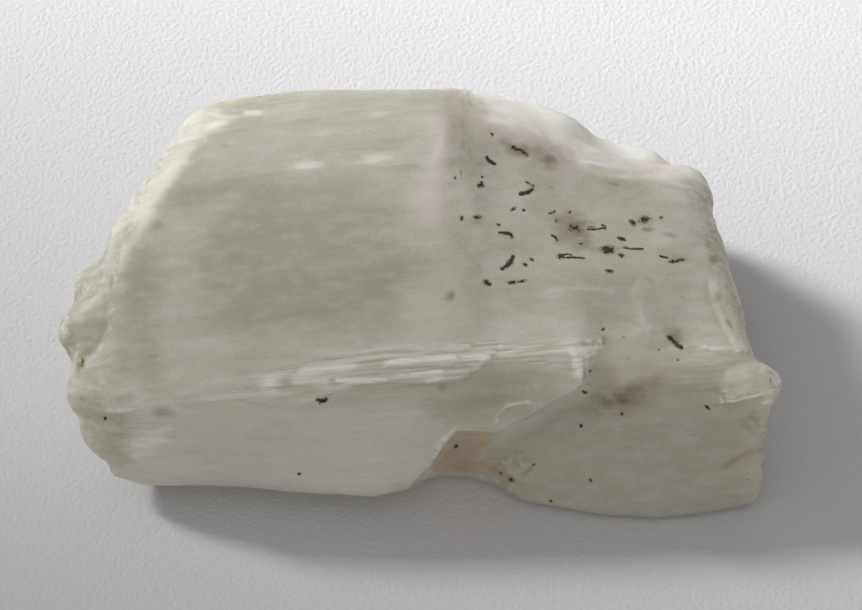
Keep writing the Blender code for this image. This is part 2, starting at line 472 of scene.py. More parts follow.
# Dark oxide specks on the speckled face
FACE_SPECKS = (
    Mark(2.71, 7.58, 0.17, 0.09, -60), Mark(1.71, 6.89, 0.24, 0.16, -50, 0.6),
    Stroke(((3.6, 7.0), (3.95, 6.86), (4.25, 6.66)), 0.2, 0.85), Mark(5.27, 6.6, 0.4, 0.24, -50, 0.45),
    Stroke(((2.48, 6.55), (2.58, 6.4), (2.8, 6.28)), 0.14),
    Stroke(((1.3, 5.97), (1.35, 5.78)), 0.07, 0.8), Mark(1.37, 5.62, 0.09, 0.09, 0, 0.7),
    Mark(1.07, 5.64, 0.1, 0.12), Mark(2.28, 5.69, 0.1, 0.09), Mark(2.23, 5.31, 0.27, 0.2),
    Mark(2.24, 5.42, 0.1, 0.2), Mark(3.97, 5.83, 0.12, 0.1, 0, 0.5),
    Stroke(((4.22, 5.48), (4.4, 5.36), (4.56, 5.32), (4.48, 5.14)), 0.1, 0.9),
    Stroke(((4.48, 5.14), (4.3, 5.0), (3.98, 4.94)), 0.16), Mark(5.31, 5.24, 0.3, 0.12, -30, 0.4),
    Mark(6.8, 5.54, 0.28, 0.14, 15, 0.6), Mark(3.66, 4.27, 0.27, 0.13, 30),
    Mark(4.11, 4.23, 0.15, 0.12), Mark(5.3, 4.06, 0.17, 0.09), Mark(5.48, 4.15, 0.14, 0.09, 30),
    Mark(6.17, 4.12, 0.2, 0.08, 65), Mark(5.55, 3.74, 0.15, 0.12, 30), Mark(2.06, 3.9, 0.32, 0.16, 5),
    Mark(1.36, 3.85, 0.14, 0.18), Mark(6.36, 3.42, 0.46, 0.26, -10),
    Mark(6.66, 2.72, 0.3, 0.14, 10, 0.75), Mark(6.55, 3.1, 0.2, 0.14, 30, 0.4),
    Stroke(((6.92, 3.36), (7.3, 3.36), (7.66, 3.42)), 0.08),
    Stroke(((6.94, 3.47), (7.3, 3.46)), 0.06, 0.8),
    Stroke(((7.6, 3.56), (7.74, 3.5), (7.72, 3.38)), 0.09),
    Stroke(((5.38, 3.08), (5.52, 3.02), (5.62, 2.88)), 0.1), Mark(2.99, 3.57, 0.2, 0.13, -20, 0.85),
    Stroke(((3.06, 3.22), (3.3, 3.18), (3.54, 3.16), (3.6, 3.0)), 0.13),
    Stroke(((3.6, 3.0), (3.72, 2.76), (3.78, 2.58)), 0.06, 0.5), Mark(8.95, 3.66, 0.3, 0.18, -35),
    Mark(9.48, 3.8, 0.34, 0.26, 20), Mark(9.2, 3.7, 0.3, 0.1, 10, 0.8),
    Mark(9.78, 3.84, 0.24, 0.1, 0, 0.7), Mark(10.24, 3.88, 0.17, 0.13, 10, 0.9),
    Mark(9.52, 3.37, 0.32, 0.13, 5, 0.68), Mark(10.6, 3.14, 0.4, 0.16, -10, 0.5),
    Mark(9.94, 3.32, 0.3, 0.1, 0, 0.54), Mark(8.83, 5.23, 0.16, 0.12, 0, 0.64),
    Mark(8.2, 5.36, 0.34, 0.14, -10, 0.56), Mark(6.57, 1.48, 0.22, 0.1, 0, 0.58),
    Mark(6.67, 0.63, 0.14, 0.12, 0, 0.66), Mark(8.19, 0.98, 0.14, 0.12, 0, 0.56),
    Stroke(((9.56, 1.2), (9.84, 1.0)), 0.12, 0.56), Stroke(((10.45, 1.28), (10.95, 1.42)), 0.14, 0.5),
    Stroke(((11.04, 0.4), (11.32, 0.28)), 0.1, 0.6), Mark(9.3, 2.06, 0.42, 0.14, 8, 0.5),
    Mark(8.46, 2.94, 0.34, 0.14, -20), Mark(7.86, 2.44, 0.54, 0.3), Mark(7.7, 2.55, 0.4, 0.12, 10),
    Mark(8.62, 2.57, 0.2, 0.13), Stroke(((8.6, 2.58), (8.7, 2.51), (9.0, 2.49), (9.4, 2.49)), 0.08),
    Stroke(((8.9, 2.68), (9.2, 2.73)), 0.05, 0.6), Mark(8.44, 2.22, 0.26, 0.17, -15),
    Mark(5.78, 2.15, 0.3, 0.2, -5), Stroke(((5.8, 2.22), (6.1, 2.26), (6.24, 2.22)), 0.07),
    Stroke(((5.9, 2.1), (6.3, 2.12), (6.8, 2.08)), 0.08),
    Stroke(((3.16, 1.62), (3.36, 1.72), (3.5, 1.86), (3.66, 2.16)), 0.15),
    Mark(3.5, 1.88, 0.3, 0.22, 30), Mark(4.47, 2.02, 0.22, 0.11, -40),
    Mark(4.18, 1.78, 0.22, 0.15, -30), Mark(2.12, 1.77, 0.16, 0.09, -60, 0.6),
    Stroke(((10.18, 2.19), (10.34, 2.12), (10.5, 2.1)), 0.09), Mark(10.74, 2.23, 0.2, 0.07, 0, 0.7),
    Mark(10.78, 1.94, 0.36, 0.16, 10), Mark(11.14, 2.0, 0.34, 0.15, 10, 0.9),
    Mark(7.92, 1.5, 0.3, 0.16, -10), Mark(6.57, 1.5, 0.18, 0.07, 0, 0.5),
    Mark(8.83, 5.23, 0.16, 0.1, 0, 0.6), Mark(2.49, 0.98, 0.32, 0.22, -30),
    Mark(3.6, 1.0, 0.36, 0.14, 5), Mark(4.08, 1.06, 0.36, 0.12, 5),
    Mark(0.89, 0.42, 0.3, 0.24, 60, 0.7), Mark(6.67, 0.66, 0.2, 0.1, 0, 0.5),
    Mark(8.18, 1.02, 0.2, 0.08, 0, 0.4),
)

# Specks on the lower right block, in the notch and on the left slab
OTHER_SPECKS = (
    Mark(7.64, -1.07, 0.13, 0.15), Mark(8.56, -1.43, 0.2, 0.12, -30, 0.66),
    Stroke(((10.6, -1.42), (10.78, -1.6), (10.95, -1.8), (11.1, -1.88)), 0.19),
    Mark(10.12, -1.99, 0.16, 0.12, 0, 0.7), Mark(8.71, -2.35, 0.13, 0.13, 0, 0.72),
    Mark(10.98, -2.44, 0.15, 0.12, 0, 0.8), Mark(11.78, -2.58, 0.18, 0.12, 0, 0.6),
    Mark(7.06, -2.93, 0.14, 0.14, 0, 0.8), Mark(6.82, -3.87, 0.24, 0.12, -25),
    Mark(8.42, -4.04, 0.36, 0.2, 15, 0.6), Mark(8.46, -4.83, 0.14, 0.15),
    Mark(12.28, -4.55, 0.26, 0.1, -35), Mark(6.67, -5.37, 0.13, 0.13), Mark(7.08, -7.79, 0.13, 0.14),
    Mark(14.09, -7.75, 0.14, 0.1, 0, 0.7), Mark(5.32, -8.7, 0.15, 0.12, -30),
    Mark(5.68, -8.62, 0.1, 0.08, 0, 0.6), Mark(5.46, -7.33, 0.12, 0.1, 0, 0.5),
    Stroke(((-5.04, -4.2), (-4.86, -4.28), (-4.64, -4.2)), 0.16), Mark(-4.94, -4.3, 0.14, 0.2),
    Mark(-5.86, -7.51, 0.12, 0.12), Mark(-14.48, -5.03, 0.14, 0.14),
    Mark(-13.46, -4.3, 0.18, 0.07, 0, 0.5), Mark(-5.38, -5.72, 0.2, 0.05, 90, 0.4),
    Mark(-5.04, -5.33, 0.2, 0.06, 80, 0.4), Mark(-2.18, -4.49, 0.08, 0.08, 0, 0.6),
    Mark(-3.17, -4.78, 0.1, 0.08, 0, 0.5), Mark(0.12, -2.72, 0.1, 0.12, 0, 0.6),
    Mark(0.51, -3.57, 0.1, 0.12, 0, 0.6), Mark(1.2, -4.18, 0.08, 0.08, 0, 0.5),
    Mark(0.51, -4.79, 0.1, 0.08, 0, 0.4), Mark(1.11, -6.27, 0.15, 0.16),
    Stroke(((1.6, -5.8), (1.6, -6.1)), 0.05, 0.7), Mark(1.52, -6.28, 0.06, 0.1, 0, 0.5),
    Mark(3.88, -7.13, 0.13, 0.13, 0, 0.7), Mark(4.56, -7.08, 0.16, 0.12, 30, 0.8),
    Mark(3.08, -7.47, 0.18, 0.12, -20, 0.85), Mark(3.55, -7.76, 0.2, 0.2),
    Mark(4.07, -7.99, 0.12, 0.14, 0, 0.7), Mark(-15.5, -2.6, 0.2, 0.45, 0, 0.8),
    Mark(13.22, -0.9, 0.14, 0.2, 30, 0.4),
)

OXIDE_MARKS = FACE_SPECKS + OTHER_SPECKS

# Brown haze around and apart from the specks
RUST_MARKS = (
    Mark(3.9, 6.85, 1.5, 0.7, -28, 0.9), Mark(4.9, 6.75, 2.0, 1.3, -25, 0.5),
    Mark(5.2, 6.5, 1.1, 0.8, -30, 0.7), Mark(6.3, 3.3, 2.2, 1.6, -25, 0.8),
    Mark(6.75, 2.8, 1.5, 1.0, 0, 0.85), Mark(6.4, 3.45, 1.3, 0.9, 0, 1.0),
    Mark(7.85, 2.5, 0.9, 0.55, 0, 0.6), Mark(9.5, 3.75, 0.8, 0.5, 10, 0.5),
    Mark(9.6, 3.36, 0.6, 0.26, 0, 0.7), Mark(10.6, 3.12, 0.7, 0.25, -12, 0.5),
    Mark(10.95, 2.0, 1.0, 0.4, 5, 0.5), Mark(0.89, 0.42, 0.6, 0.45, 60, 0.6),
    Mark(8.1, 5.38, 0.7, 0.18, -15, 0.6), Mark(5.31, 5.24, 0.4, 0.2, -30, 0.4),
    Mark(12.58, 1.98, 0.45, 0.4, 0, 0.7), Mark(12.27, 2.74, 0.32, 0.3, 0, 0.4),
    Mark(12.8, 0.33, 0.36, 0.4, 30, 0.6), Mark(12.95, -0.2, 0.2, 0.5, 20, 0.3),
    Mark(13.3, -0.9, 0.2, 0.55, 30, 0.8), Mark(10.95, -1.4, 1.3, 0.8, -40, 0.75),
    Mark(7.8, -4.36, 1.0, 0.8, 0, 0.9), Mark(8.75, -4.0, 2.0, 1.1, 14, 1.0),
    Mark(9.8, -3.44, 1.5, 0.6, 8, 0.7), Mark(8.4, -4.25, 3.0, 1.6, 10, 0.5),
    Mark(11.64, -5.78, 0.18, 0.14, 0, 0.5), Mark(-12.2, -2.24, 0.28, 0.22, 0, 0.7),
    Mark(0.51, -3.62, 0.4, 0.36, 0, 0.5), Mark(3.3, -7.6, 1.3, 0.6, -20, 0.35),
    Mark(3.6, -7.78, 0.45, 0.4, 0, 0.6), Mark(3.3, 3.1, 0.7, 0.4, 0, 0.25),
    Stroke(((4.56, -7.1), (4.3, -7.4), (4.05, -7.55)), 0.2, 0.6),
    Mark(-15.68, -2.8, 0.24, 0.55, 0, 0.9),
    Stroke(((14.7, -6.45), (13.9, -6.7), (13.3, -7.05)), 0.24, 0.3),
    Stroke(((13.8, -5.2), (14.3, -5.6)), 0.3, 0.3), Mark(-11.9, -4.75, 1.0, 0.5, -10, 0.45),
    Mark(-13.6, -4.1, 1.2, 0.5, 0, 0.25), Mark(-9.2, 7.1, 0.3, 0.24, 0, 0.4),
    Mark(-9.1, 5.95, 0.3, 0.2, 0, 0.5), Mark(-7.4, 3.45, 0.24, 0.22, 0, 0.4),
    Mark(-12.2, 3.5, 0.4, 0.6, -30, 0.4), Mark(2.1, 3.7, 0.9, 0.5, 0, 0.35),
    Mark(2.1, 1.5, 0.5, 0.9, 40, 0.2),
)

# Faint pink of the fresh fractures
BLUSH_SHAPES = (
    Stroke(((1.5, 9.3), (0.75, 8.4), (0.5, 6.9), (0.2, 5.5), (0.1, 4.1)), 1.9, 0.65),
    Area(((2.0, 9.0), (4.4, 8.4), (6.6, 7.5), (9.3, 6.9), (11.4, 6.1), (11.0, 5.5), (8.2, 5.9),
          (6.4, 6.2), (4.6, 6.6), (3.0, 7.4), (1.6, 8.0)), 1.0, 0.75),
    Mark(4.9, 7.2, 2.4, 1.3, -25, 0.8), Mark(5.0, 6.1, 1.2, 1.2, 0, 0.5),
    Mark(-15.0, 0.2, 2.0, 3.4, 0, 0.25), Stroke(((-10.4, 7.8), (-11.6, 5.9), (-12.9, 3.9)), 0.9, 0.35),
    Mark(-11.4, 1.9, 1.7, 0.5, 0, 0.6), Mark(-10.4, 1.3, 0.9, 0.35, 0, 0.6),
    Mark(-12.9, 2.6, 0.5, 0.35, 0, 0.5), Mark(-9.4, 5.7, 1.5, 0.5, 25, 0.5),
    Mark(2.4, -6.75, 1.3, 1.0, 0, 0.6), Mark(-6.8, -2.8, 0.6, 0.3, 0, 0.4),
    Mark(9.0, -1.6, 3.0, 1.6, 0, 0.25), Mark(1.9, 3.3, 1.2, 1.0, 0, 0.4),
    Mark(-3.5, 1.8, 3.0, 0.8, 0, 0.2),
)

# White bloom of fine cracks just under the surface, and painted highlights: the bright rim of the lip, the
# arc of the chip, glints on the knob and bright streaks on the silky band; also painted light down the step
# near the crest, which faces away from the lamp
MILK_AND_HIGHLIGHT_SHAPES = (
    Stroke(((-2.0, -2.6), (0.5, -2.35), (2.5, -2.3)), 0.34, 0.85),
    Stroke(((-5.8, -3.0), (-3.5, -2.75)), 0.5, 0.6), Stroke(((-4.2, -3.35), (-2.1, -3.3)), 0.22, 0.9),
    Stroke(((-1.3, -3.1), (0.6, -2.9)), 0.2, 0.8),
    Stroke(((-0.2, -3.45), (0.3, -3.3), (0.55, -3.15)), 0.12, 1.0),
    Mark(0.22, -3.2, 0.4, 0.18, 10, 1.0),
    Stroke(((-1.8, -2.47), (0.6, -2.32), (2.0, -2.24)), 0.14, 1.0),
    Stroke(((3.0, -2.2), (4.6, -2.05), (7.0, -1.95)), 0.22, 0.6),
    Stroke(((5.6, -1.7), (7.6, -1.55)), 0.16, 0.5),
    Area(((6.1, -1.95), (7.5, -1.8), (7.2, -2.2), (6.75, -2.4), (6.65, -3.2), (6.4, -3.0),
          (6.3, -2.4)), 0.25, 0.9), Stroke(((-10.2, -4.2), (-8.0, -4.0)), 0.4, 0.5),
    Mark(-7.2, -3.65, 1.3, 1.1, 0, 0.8), Stroke(((-6.0, -3.35), (-4.7, -3.4)), 0.6, 0.6),
    Stroke(((-14.4, -4.7), (-13.3, -4.65)), 0.25, 0.8),
    Stroke(((-14.3, -5.55), (-13.4, -5.45)), 0.1, 0.5),
    Area(((1.1, -5.5), (0.7, -5.7), (0.2, -6.3), (0.35, -6.35), (0.8, -5.95), (1.1, -5.7)), 0.12, 1.0),
    Stroke(((1.0, -5.6), (0.78, -5.9), (0.42, -6.35), (0.14, -6.8)), 0.2, 1.0),
    Stroke(((0.22, -6.8), (0.0, -7.1), (-0.6, -7.7)), 0.14, 0.35),
    Stroke(((1.05, -5.56), (1.7, -5.54), (2.7, -5.64)), 0.08, 0.6),
    Stroke(((2.88, -5.2), (3.05, -4.8), (3.3, -4.55), (3.6, -4.38), (3.96, -4.32),
          (4.36, -4.34)), 0.12, 0.8),
    Stroke(((11.2, -1.81), (11.9, -1.78), (12.5, -1.95), (13.2, -1.95), (13.7, -2.05)), 0.13, 0.7),
    Stroke(((12.85, -4.3), (13.4, -4.26), (14.3, -4.05), (14.8, -3.9)), 0.12, 0.9),
    Mark(15.1, -3.8, 0.5, 0.3, 20, 1.0), Mark(14.9, -4.3, 0.7, 0.24, 20, 1.0),
    Mark(14.7, -2.9, 0.3, 0.16, -20, 1.0), Mark(15.2, -3.2, 0.14, 0.4, 0, 1.0),
    Mark(14.6, -3.9, 0.2, 0.12, 0, 1.0),
    Stroke(((14.7, -2.75), (15.05, -2.65), (15.35, -3.1), (15.35, -3.6)), 0.14, 0.7),
    Mark(14.9, -3.4, 0.9, 1.4, 0, 0.35), Stroke(((-13.2, -6.65), (-12.2, -6.55)), 0.4, 0.9),
    Stroke(((-13.1, -6.2), (-11.9, -5.95)), 0.6, 1.0),
    Stroke(((-12.5, -5.75), (-11.5, -5.4)), 0.5, 0.9), Mark(-12.4, -6.1, 2.4, 1.4, 25, 0.8),
    Mark(-4.2, -6.8, 1.6, 0.35, 5, 0.5), Mark(-8.9, -6.6, 1.8, 0.3, 3, 0.3),
    Mark(-1.3, -5.2, 1.4, 0.3, 4, 0.35), Mark(-12.6, -7.35, 0.8, 0.1, 5, 0.6),
    Stroke(((-9.9, 8.5), (-9.0, 8.35), (-8.2, 8.45)), 0.22, 0.6),
    Stroke(((-6.9, 8.9), (-5.8, 8.85)), 0.14, 0.3), Stroke(((-9.9, 7.9), (-8.4, 7.6)), 0.6, 0.3),
    Mark(-8.6, 7.15, 0.4, 0.2, 0, 0.6), Mark(-7.8, 6.95, 0.5, 0.2, 0, 0.5),
    Mark(-8.8, 4.85, 1.0, 0.5, 0, 0.35),
    Stroke(((-10.1, 8.4), (-11.0, 7.0), (-12.1, 5.3), (-13.0, 3.8)), 0.9, 0.22),
    Stroke(((0.6, 8.2), (0.35, 7.0), (0.0, 6.2)), 0.4, 0.4), Mark(1.6, 4.4, 1.4, 1.1, 0, 0.35),
    Mark(8.25, 4.66, 0.6, 0.22, 0, 0.5), Mark(6.92, 3.84, 0.45, 0.22, 0, 0.6),
    Stroke(((9.7, 2.98), (10.5, 2.86)), 0.2, 0.45),
    Stroke(((5.0, 0.6), (6.6, 0.75), (8.0, 0.7)), 0.26, 0.35),
    Stroke(((9.2, 0.2), (9.35, -0.6), (9.75, -1.3)), 0.24, 0.3),
    Stroke(((8.6, 4.55), (9.9, 4.8), (11.2, 4.6)), 0.2, 0.3), Mark(7.6, 4.2, 3.0, 0.8, -5, 0.25),
    Mark(10.8, 4.9, 2.6, 0.5, -15, 0.35), Mark(12.0, 3.9, 0.8, 2.0, 0, 0.2),
    Stroke(((6.9, 6.0), (8.0, 5.75), (9.4, 5.65)), 0.3, 0.4), Mark(10.4, 0.5, 2.6, 1.2, -20, 0.15),
    Mark(5.4, -0.8, 5.0, 1.2, 3, 0.15), Mark(-1.6, 6.8, 2.2, 0.5, 3, 0.3),
    Mark(-3.4, 7.4, 2.4, 0.5, 3, 0.25),
    Stroke(((12.4, 1.0), (12.5, 0.1), (13.0, -0.9), (13.5, -1.9)), 0.14, 0.5),
    Mark(11.2, -5.9, 1.6, 1.0, 0, 0.2),
    Area(((-15.8, -0.4), (-15.2, 1.3), (-14.4, 2.0), (-14.3, 0.2), (-15.0, -1.9),
          (-15.7, -1.6)), 0.5, 0.1), Stroke(((-8.3, 8.6), (-7.2, 8.5)), 0.2, 1.0),
    Mark(-9.4, 8.05, 1.9, 0.5, 12, 0.8), Mark(-8.8, 7.2, 0.4, 0.18, 10, 1.0),
    Mark(-7.95, 6.98, 0.5, 0.18, 10, 1.0), Mark(-5.5, 6.2, 1.9, 0.5, 5, 0.9),
    Mark(-2.5, 6.5, 2.0, 0.7, 5, 0.7), Mark(-2.3, 8.5, 1.2, 0.3, 3, 0.7),
    Mark(-5.0, 7.6, 2.4, 0.6, 4, 0.4), Mark(-12.6, -5.9, 1.9, 1.1, 20, 0.3),
    Stroke(((1.6, 8.8), (1.7, 6.8), (1.6, 4.6)), 1.8, 0.5),
    Stroke(((2.2, 9.1), (4.6, 8.4), (6.8, 7.5), (9.4, 7.0)), 2.2, 1.0),
    Stroke(((9.0, 7.0), (10.8, 6.6), (12.0, 5.6)), 1.1, 0.4),
    Stroke(((6.6, 6.6), (8.4, 6.3), (9.6, 6.2)), 0.7, 0.6),
    Area(((-13.0, -4.6), (-9.0, -4.4), (-5.0, -4.6), (-1.0, -4.2), (0.6, -5.6), (-0.4, -7.4),
          (-2.4, -8.2), (-8.0, -7.8), (-13.0, -7.6)), 1.6, 0.5), Mark(-7.4, -5.3, 3.4, 0.5, 2, 0.3),
    Mark(-3.2, -6.6, 3.0, 0.5, 3, 0.3), Mark(-9.9, -5.0, 2.0, 0.4, 4, 0.35),
    Area(((-9.8, 8.4), (-8.0, 8.9), (-1.5, 9.3), (0.6, 9.2), (0.2, 6.2), (-4.0, 5.9), (-8.4, 5.6),
          (-9.6, 6.4)), 1.4, 0.15),
)

# Places where the eye sees deeper into clear crystal, and painted shade: dark lines along steps and cracks,
# and darkening over the left lobes and the knob where the lamp lights them. It also darkens a strip along
# the top edge
DEEP_AND_SHADE_SHAPES = (
    Area(((-8.7, 5.2), (-4.6, 5.35), (-1.4, 4.9), (-0.9, 3.3), (-1.1, 0.2), (-2.2, -1.1), (-5.8, -1.4),
          (-8.4, -1.1), (-10.0, 0.2), (-10.2, 3.3)), 1.4, 0.8), Mark(-3.6, 1.6, 3.4, 3.0, 0, 0.5),
    Mark(-12.6, 0.4, 2.8, 1.6, 0, 0.5), Mark(-10.8, 4.9, 1.5, 0.7, 25, 0.6),
    Mark(-11.6, 3.6, 1.0, 1.0, 30, 0.4),
    Stroke(((-9.5, 8.65), (-7.0, 9.0), (-4.0, 9.15), (1.3, 9.25)), 1.5, 1.0),
    Stroke(((-9.6, 8.2), (-8.6, 8.1)), 0.3, 0.5), Mark(-3.1, 5.9, 1.5, 0.4, 0, 0.5),
    Stroke(((-8.7, -2.35), (-5.0, -2.25)), 0.28, 0.6),
    Stroke(((-10.6, -3.97), (-9.4, -3.82), (-8.0, -3.72)), 0.13, 0.6),
    Stroke(((-6.2, -4.55), (-4.4, -3.98), (-2.9, -3.62), (0.2, -3.55), (1.4, -3.35), (2.2, -2.75),
          (2.6, -2.5)), 0.13, 0.7), Stroke(((-1.8, -2.85), (0.6, -2.7)), 0.14, 0.6),
    Stroke(((6.3, -1.75), (7.4, -1.65)), 0.14, 0.7),
    Stroke(((-3.7, -5.75), (-2.9, -5.65), (-2.0, -5.85)), 0.16, 0.5),
    Mark(2.6, -4.2, 3.4, 1.7, 15, 0.45),
    Area(((7.0, -4.6), (12.6, -4.8), (14.6, -5.6), (14.6, -8.4), (10.2, -9.0), (4.6, -8.6), (3.4, -7.0),
          (4.6, -5.8)), 1.6, 0.45), Mark(6.0, -6.6, 3.0, 2.2, 0, 0.4),
    Mark(9.0, 0.2, 0.5, 1.8, 10, 0.4), Stroke(((7.2, 6.25), (8.7, 5.98)), 0.16, 0.7),
    Stroke(((0.62, 3.6), (1.2, 2.8), (1.7, 2.1), (2.2, 1.6)), 0.09, 0.6),
    Mark(11.5, 5.3, 1.6, 1.6, 0, 0.4), Stroke(((13.0, -4.42), (14.3, -4.25)), 0.14, 0.6),
    Mark(14.4, -3.6, 0.5, 0.6, 0, 0.3),
    Stroke(((-13.1, 3.6), (-13.7, 2.3), (-14.15, 0.8), (-14.3, -0.2)), 0.14, 0.4),
    Area(((-16.2, -0.4), (-15.6, 1.6), (-14.6, 2.3), (-14.3, 0.4), (-14.4, -1.0), (-15.2, -2.3),
          (-16.4, -1.8)), 0.5, 1.0), Mark(-10.6, 4.4, 2.2, 1.7, 40, 0.7),
    Stroke(((-2.2, 6.1), (-0.5, 6.2)), 0.16, 0.9), Mark(-9.7, 7.15, 0.5, 0.2, 0, 0.7),
    Stroke(((-11.3, 4.8), (-12.2, 3.6), (-12.7, 2.6)), 0.35, 0.6), Mark(-12.6, 1.0, 2.6, 2.4, 0, 0.5),
    Area(((-9.9, 8.8), (-11.2, 7.0), (-12.6, 5.0), (-14.0, 2.6), (-13.1, 2.1), (-12.3, 3.6),
          (-11.0, 5.4), (-9.7, 7.4)), 0.5, 0.42),
    Stroke(((-14.0, 2.1), (-14.2, 1.3), (-14.35, 0.4), (-14.35, -0.7), (-14.6, -1.5),
          (-15.0, -2.1)), 0.22, 0.7), Mark(-11.1, 5.0, 0.9, 0.5, 50, 0.7),
    Mark(-12.2, 3.6, 1.1, 0.5, 55, 0.8), Mark(-12.8, 2.5, 0.7, 0.4, 60, 0.6),
    Mark(-6.5, -5.3, 0.9, 0.22, 4, 1.0), Mark(-7.6, -5.95, 1.5, 0.32, 3, 0.9),
    Mark(-3.0, -7.3, 2.4, 0.4, 6, 0.7), Stroke(((-6.6, -6.45), (-6.45, -6.78)), 0.08, 0.6),
    Mark(-10.2, -6.3, 1.2, 0.24, 0, 0.4), Mark(-1.5, -4.4, 1.6, 0.2, 4, 0.4),
    Mark(1.55, 9.5, 0.6, 0.35, -10, 0.7), Mark(-12.3, 1.2, 1.4, 0.5, 20, 0.5),
    Mark(-10.3, 0.2, 3.0, 2.6, 0, 0.4),
    Area(((-14.4, 1.6), (-13.2, 3.2), (-12.2, 2.8), (-12.2, 0.0), (-12.4, -3.2), (-14.2, -3.4),
          (-14.4, -1.2)), 0.7, 0.75),
    Area(((1.5, 1.7), (6.8, 1.5), (12.0, 0.9), (12.6, -1.2), (7.6, -1.2), (1.8, -1.2)), 1.2, 0.22),
    Mark(11.8, -1.1, 2.4, 1.5, 0, 0.5), Mark(11.4, -3.1, 4.4, 1.9, 0, 0.85),
    Mark(13.5, -3.2, 1.6, 1.9, 0, 0.6),
)

# Where the left slab ends in a thin lip over the right block
LIP = (
    (-0.9, -7.95), (0.0, -7.05), (0.25, -6.7), (0.5, -6.3), (0.85, -5.85), (1.05, -5.6), (1.65, -5.56),
    (2.75, -5.65), (3.3, -5.45), (4.2, -5.02), (4.85, -4.6), (5.55, -4.22), (6.3, -3.88), (6.68, -3.45),
    (6.76, -2.4),
)

# Corners that close the lip's line round the block, and the notch below the lip
UNDER_LIP = ((9.5, -2.4), (9.5, -9.9), (-0.9, -9.9))
NOTCH = Area(((1.0, -5.5), (3.0, -5.6), (2.6, -7.6), (0.0, -7.3)), 0.8)

# Cleavage steps, each walked so that its raised side is on the left
LEDGES = (
    Ledge(((-10.7, -4.35), (-8.6, -4.15), (-6.27, -4.58), (-4.36, -3.96), (-3.2, -3.51), (-0.22, -3.47),
          (1.24, -3.33), (1.78, -3.11), (2.31, -2.71), (2.53, -2.49)), 0.16, 0.9),
    Ledge(((2.45, -2.65), (3.5, -2.52), (4.6, -2.42), (5.6, -2.28), (6.5, -2.1)), 0.07, 0.5),
    Ledge(((-5.5, -2.98), (-2.6, -2.8), (0.8, -2.62), (2.2, -2.3), (4.6, -2.02),
          (6.3, -1.78)), 0.07, 0.5),
    Ledge(((3.4, -1.95), (5.2, -1.72), (6.4, -1.6), (7.4, -1.62)), 0.08, 0.6),
    Ledge(((-4.4, -2.35), (-1.6, -2.2), (1.4, -1.95)), 0.07, 0.5),
    Ledge(((6.85, -3.3), (6.75, -2.6), (6.5, -2.1)), 0.10, 0.8),
    Ledge(((11.0, -2.0), (11.9, -1.82), (12.5, -1.98), (13.2, -1.98), (13.7, -2.08)), 0.09, 0.6),
    Ledge(((12.4, -4.4), (13.33, -4.27), (14.27, -4.04), (14.8, -3.92)), 0.13, 0.6),
    Ledge(((9.3, -1.3), (9.16, -0.53), (8.93, 0.44), (9.1, 0.8)), -0.035, 1.3),
    Ledge(((8.8, 5.92), (8.0, 6.1), (7.0, 6.32)), 0.12, 0.5),
    Ledge(((11.4, 5.3), (10.2, 5.55), (9.0, 5.75)), 0.08, 0.5),
    Ledge(((-14.2, -4.75), (-12.9, -4.6), (-11.6, -4.75)), 0.07, 0.5),
    Ledge(((-13.4, -7.1), (-12.0, -6.9), (-10.4, -7.0)), 0.05, 0.5),
    Ledge(((-9.9, 7.45), (-8.7, 7.7), (-7.2, 8.0), (-5.2, 8.2)), 0.06, 0.6),
)

# Creases and chips cut into the skin: shape, and depth in millimetres
CUTS = (
    (Mark(3.6, -4.95, 1.75, 0.95, 28), 0.14),
    (Stroke(((15.2, -6.42), (14.3, -6.55), (13.8, -6.75), (13.2, -7.15)), 0.42), 0.13),
    (Stroke(((14.3, -4.9), (15.0, -5.6)), 0.55), 0.14),
    (Stroke(((0.62, 3.6), (1.2, 2.8), (1.7, 2.1), (2.2, 1.6)), 0.16), 0.03),
    (Stroke(((12.4, 1.0), (12.55, 0.1), (13.0, -0.9), (13.5, -1.9)), 0.4), 0.07),
    (Mark(12.78, 0.31, 0.5, 0.6, 30), 0.07),
    (Mark(12.58, 1.98, 0.6, 0.5), 0.05),
    (Mark(13.3, -0.95, 0.4, 0.7, 25), 0.05),
    (Stroke(((-14.0, 2.1), (-14.2, 1.3), (-14.35, 0.4), (-14.35, -0.7), (-14.6, -1.5), (-15.0, -2.1),
          (-15.6, -2.5)), 0.42), 0.08),
    (Stroke(((-16.1, 0.25), (-15.3, 0.5), (-14.5, 0.8)), 0.4), 0.06),
    (Stroke(((-13.2, 3.6), (-13.8, 2.8), (-14.0, 2.2)), 0.3), 0.07),
    (Mark(-15.55, -2.6, 0.35, 0.6), 0.12),
    (Mark(-15.6, -4.3, 0.5, 0.4), 0.10),
    (Mark(7.8, -4.3, 0.7, 0.4), 0.04),
    (Mark(10.9, -1.6, 0.7, 0.3, -40), 0.05),
    (Mark(-11.8, -4.9, 1.3, 0.5, -8), 0.04),
)

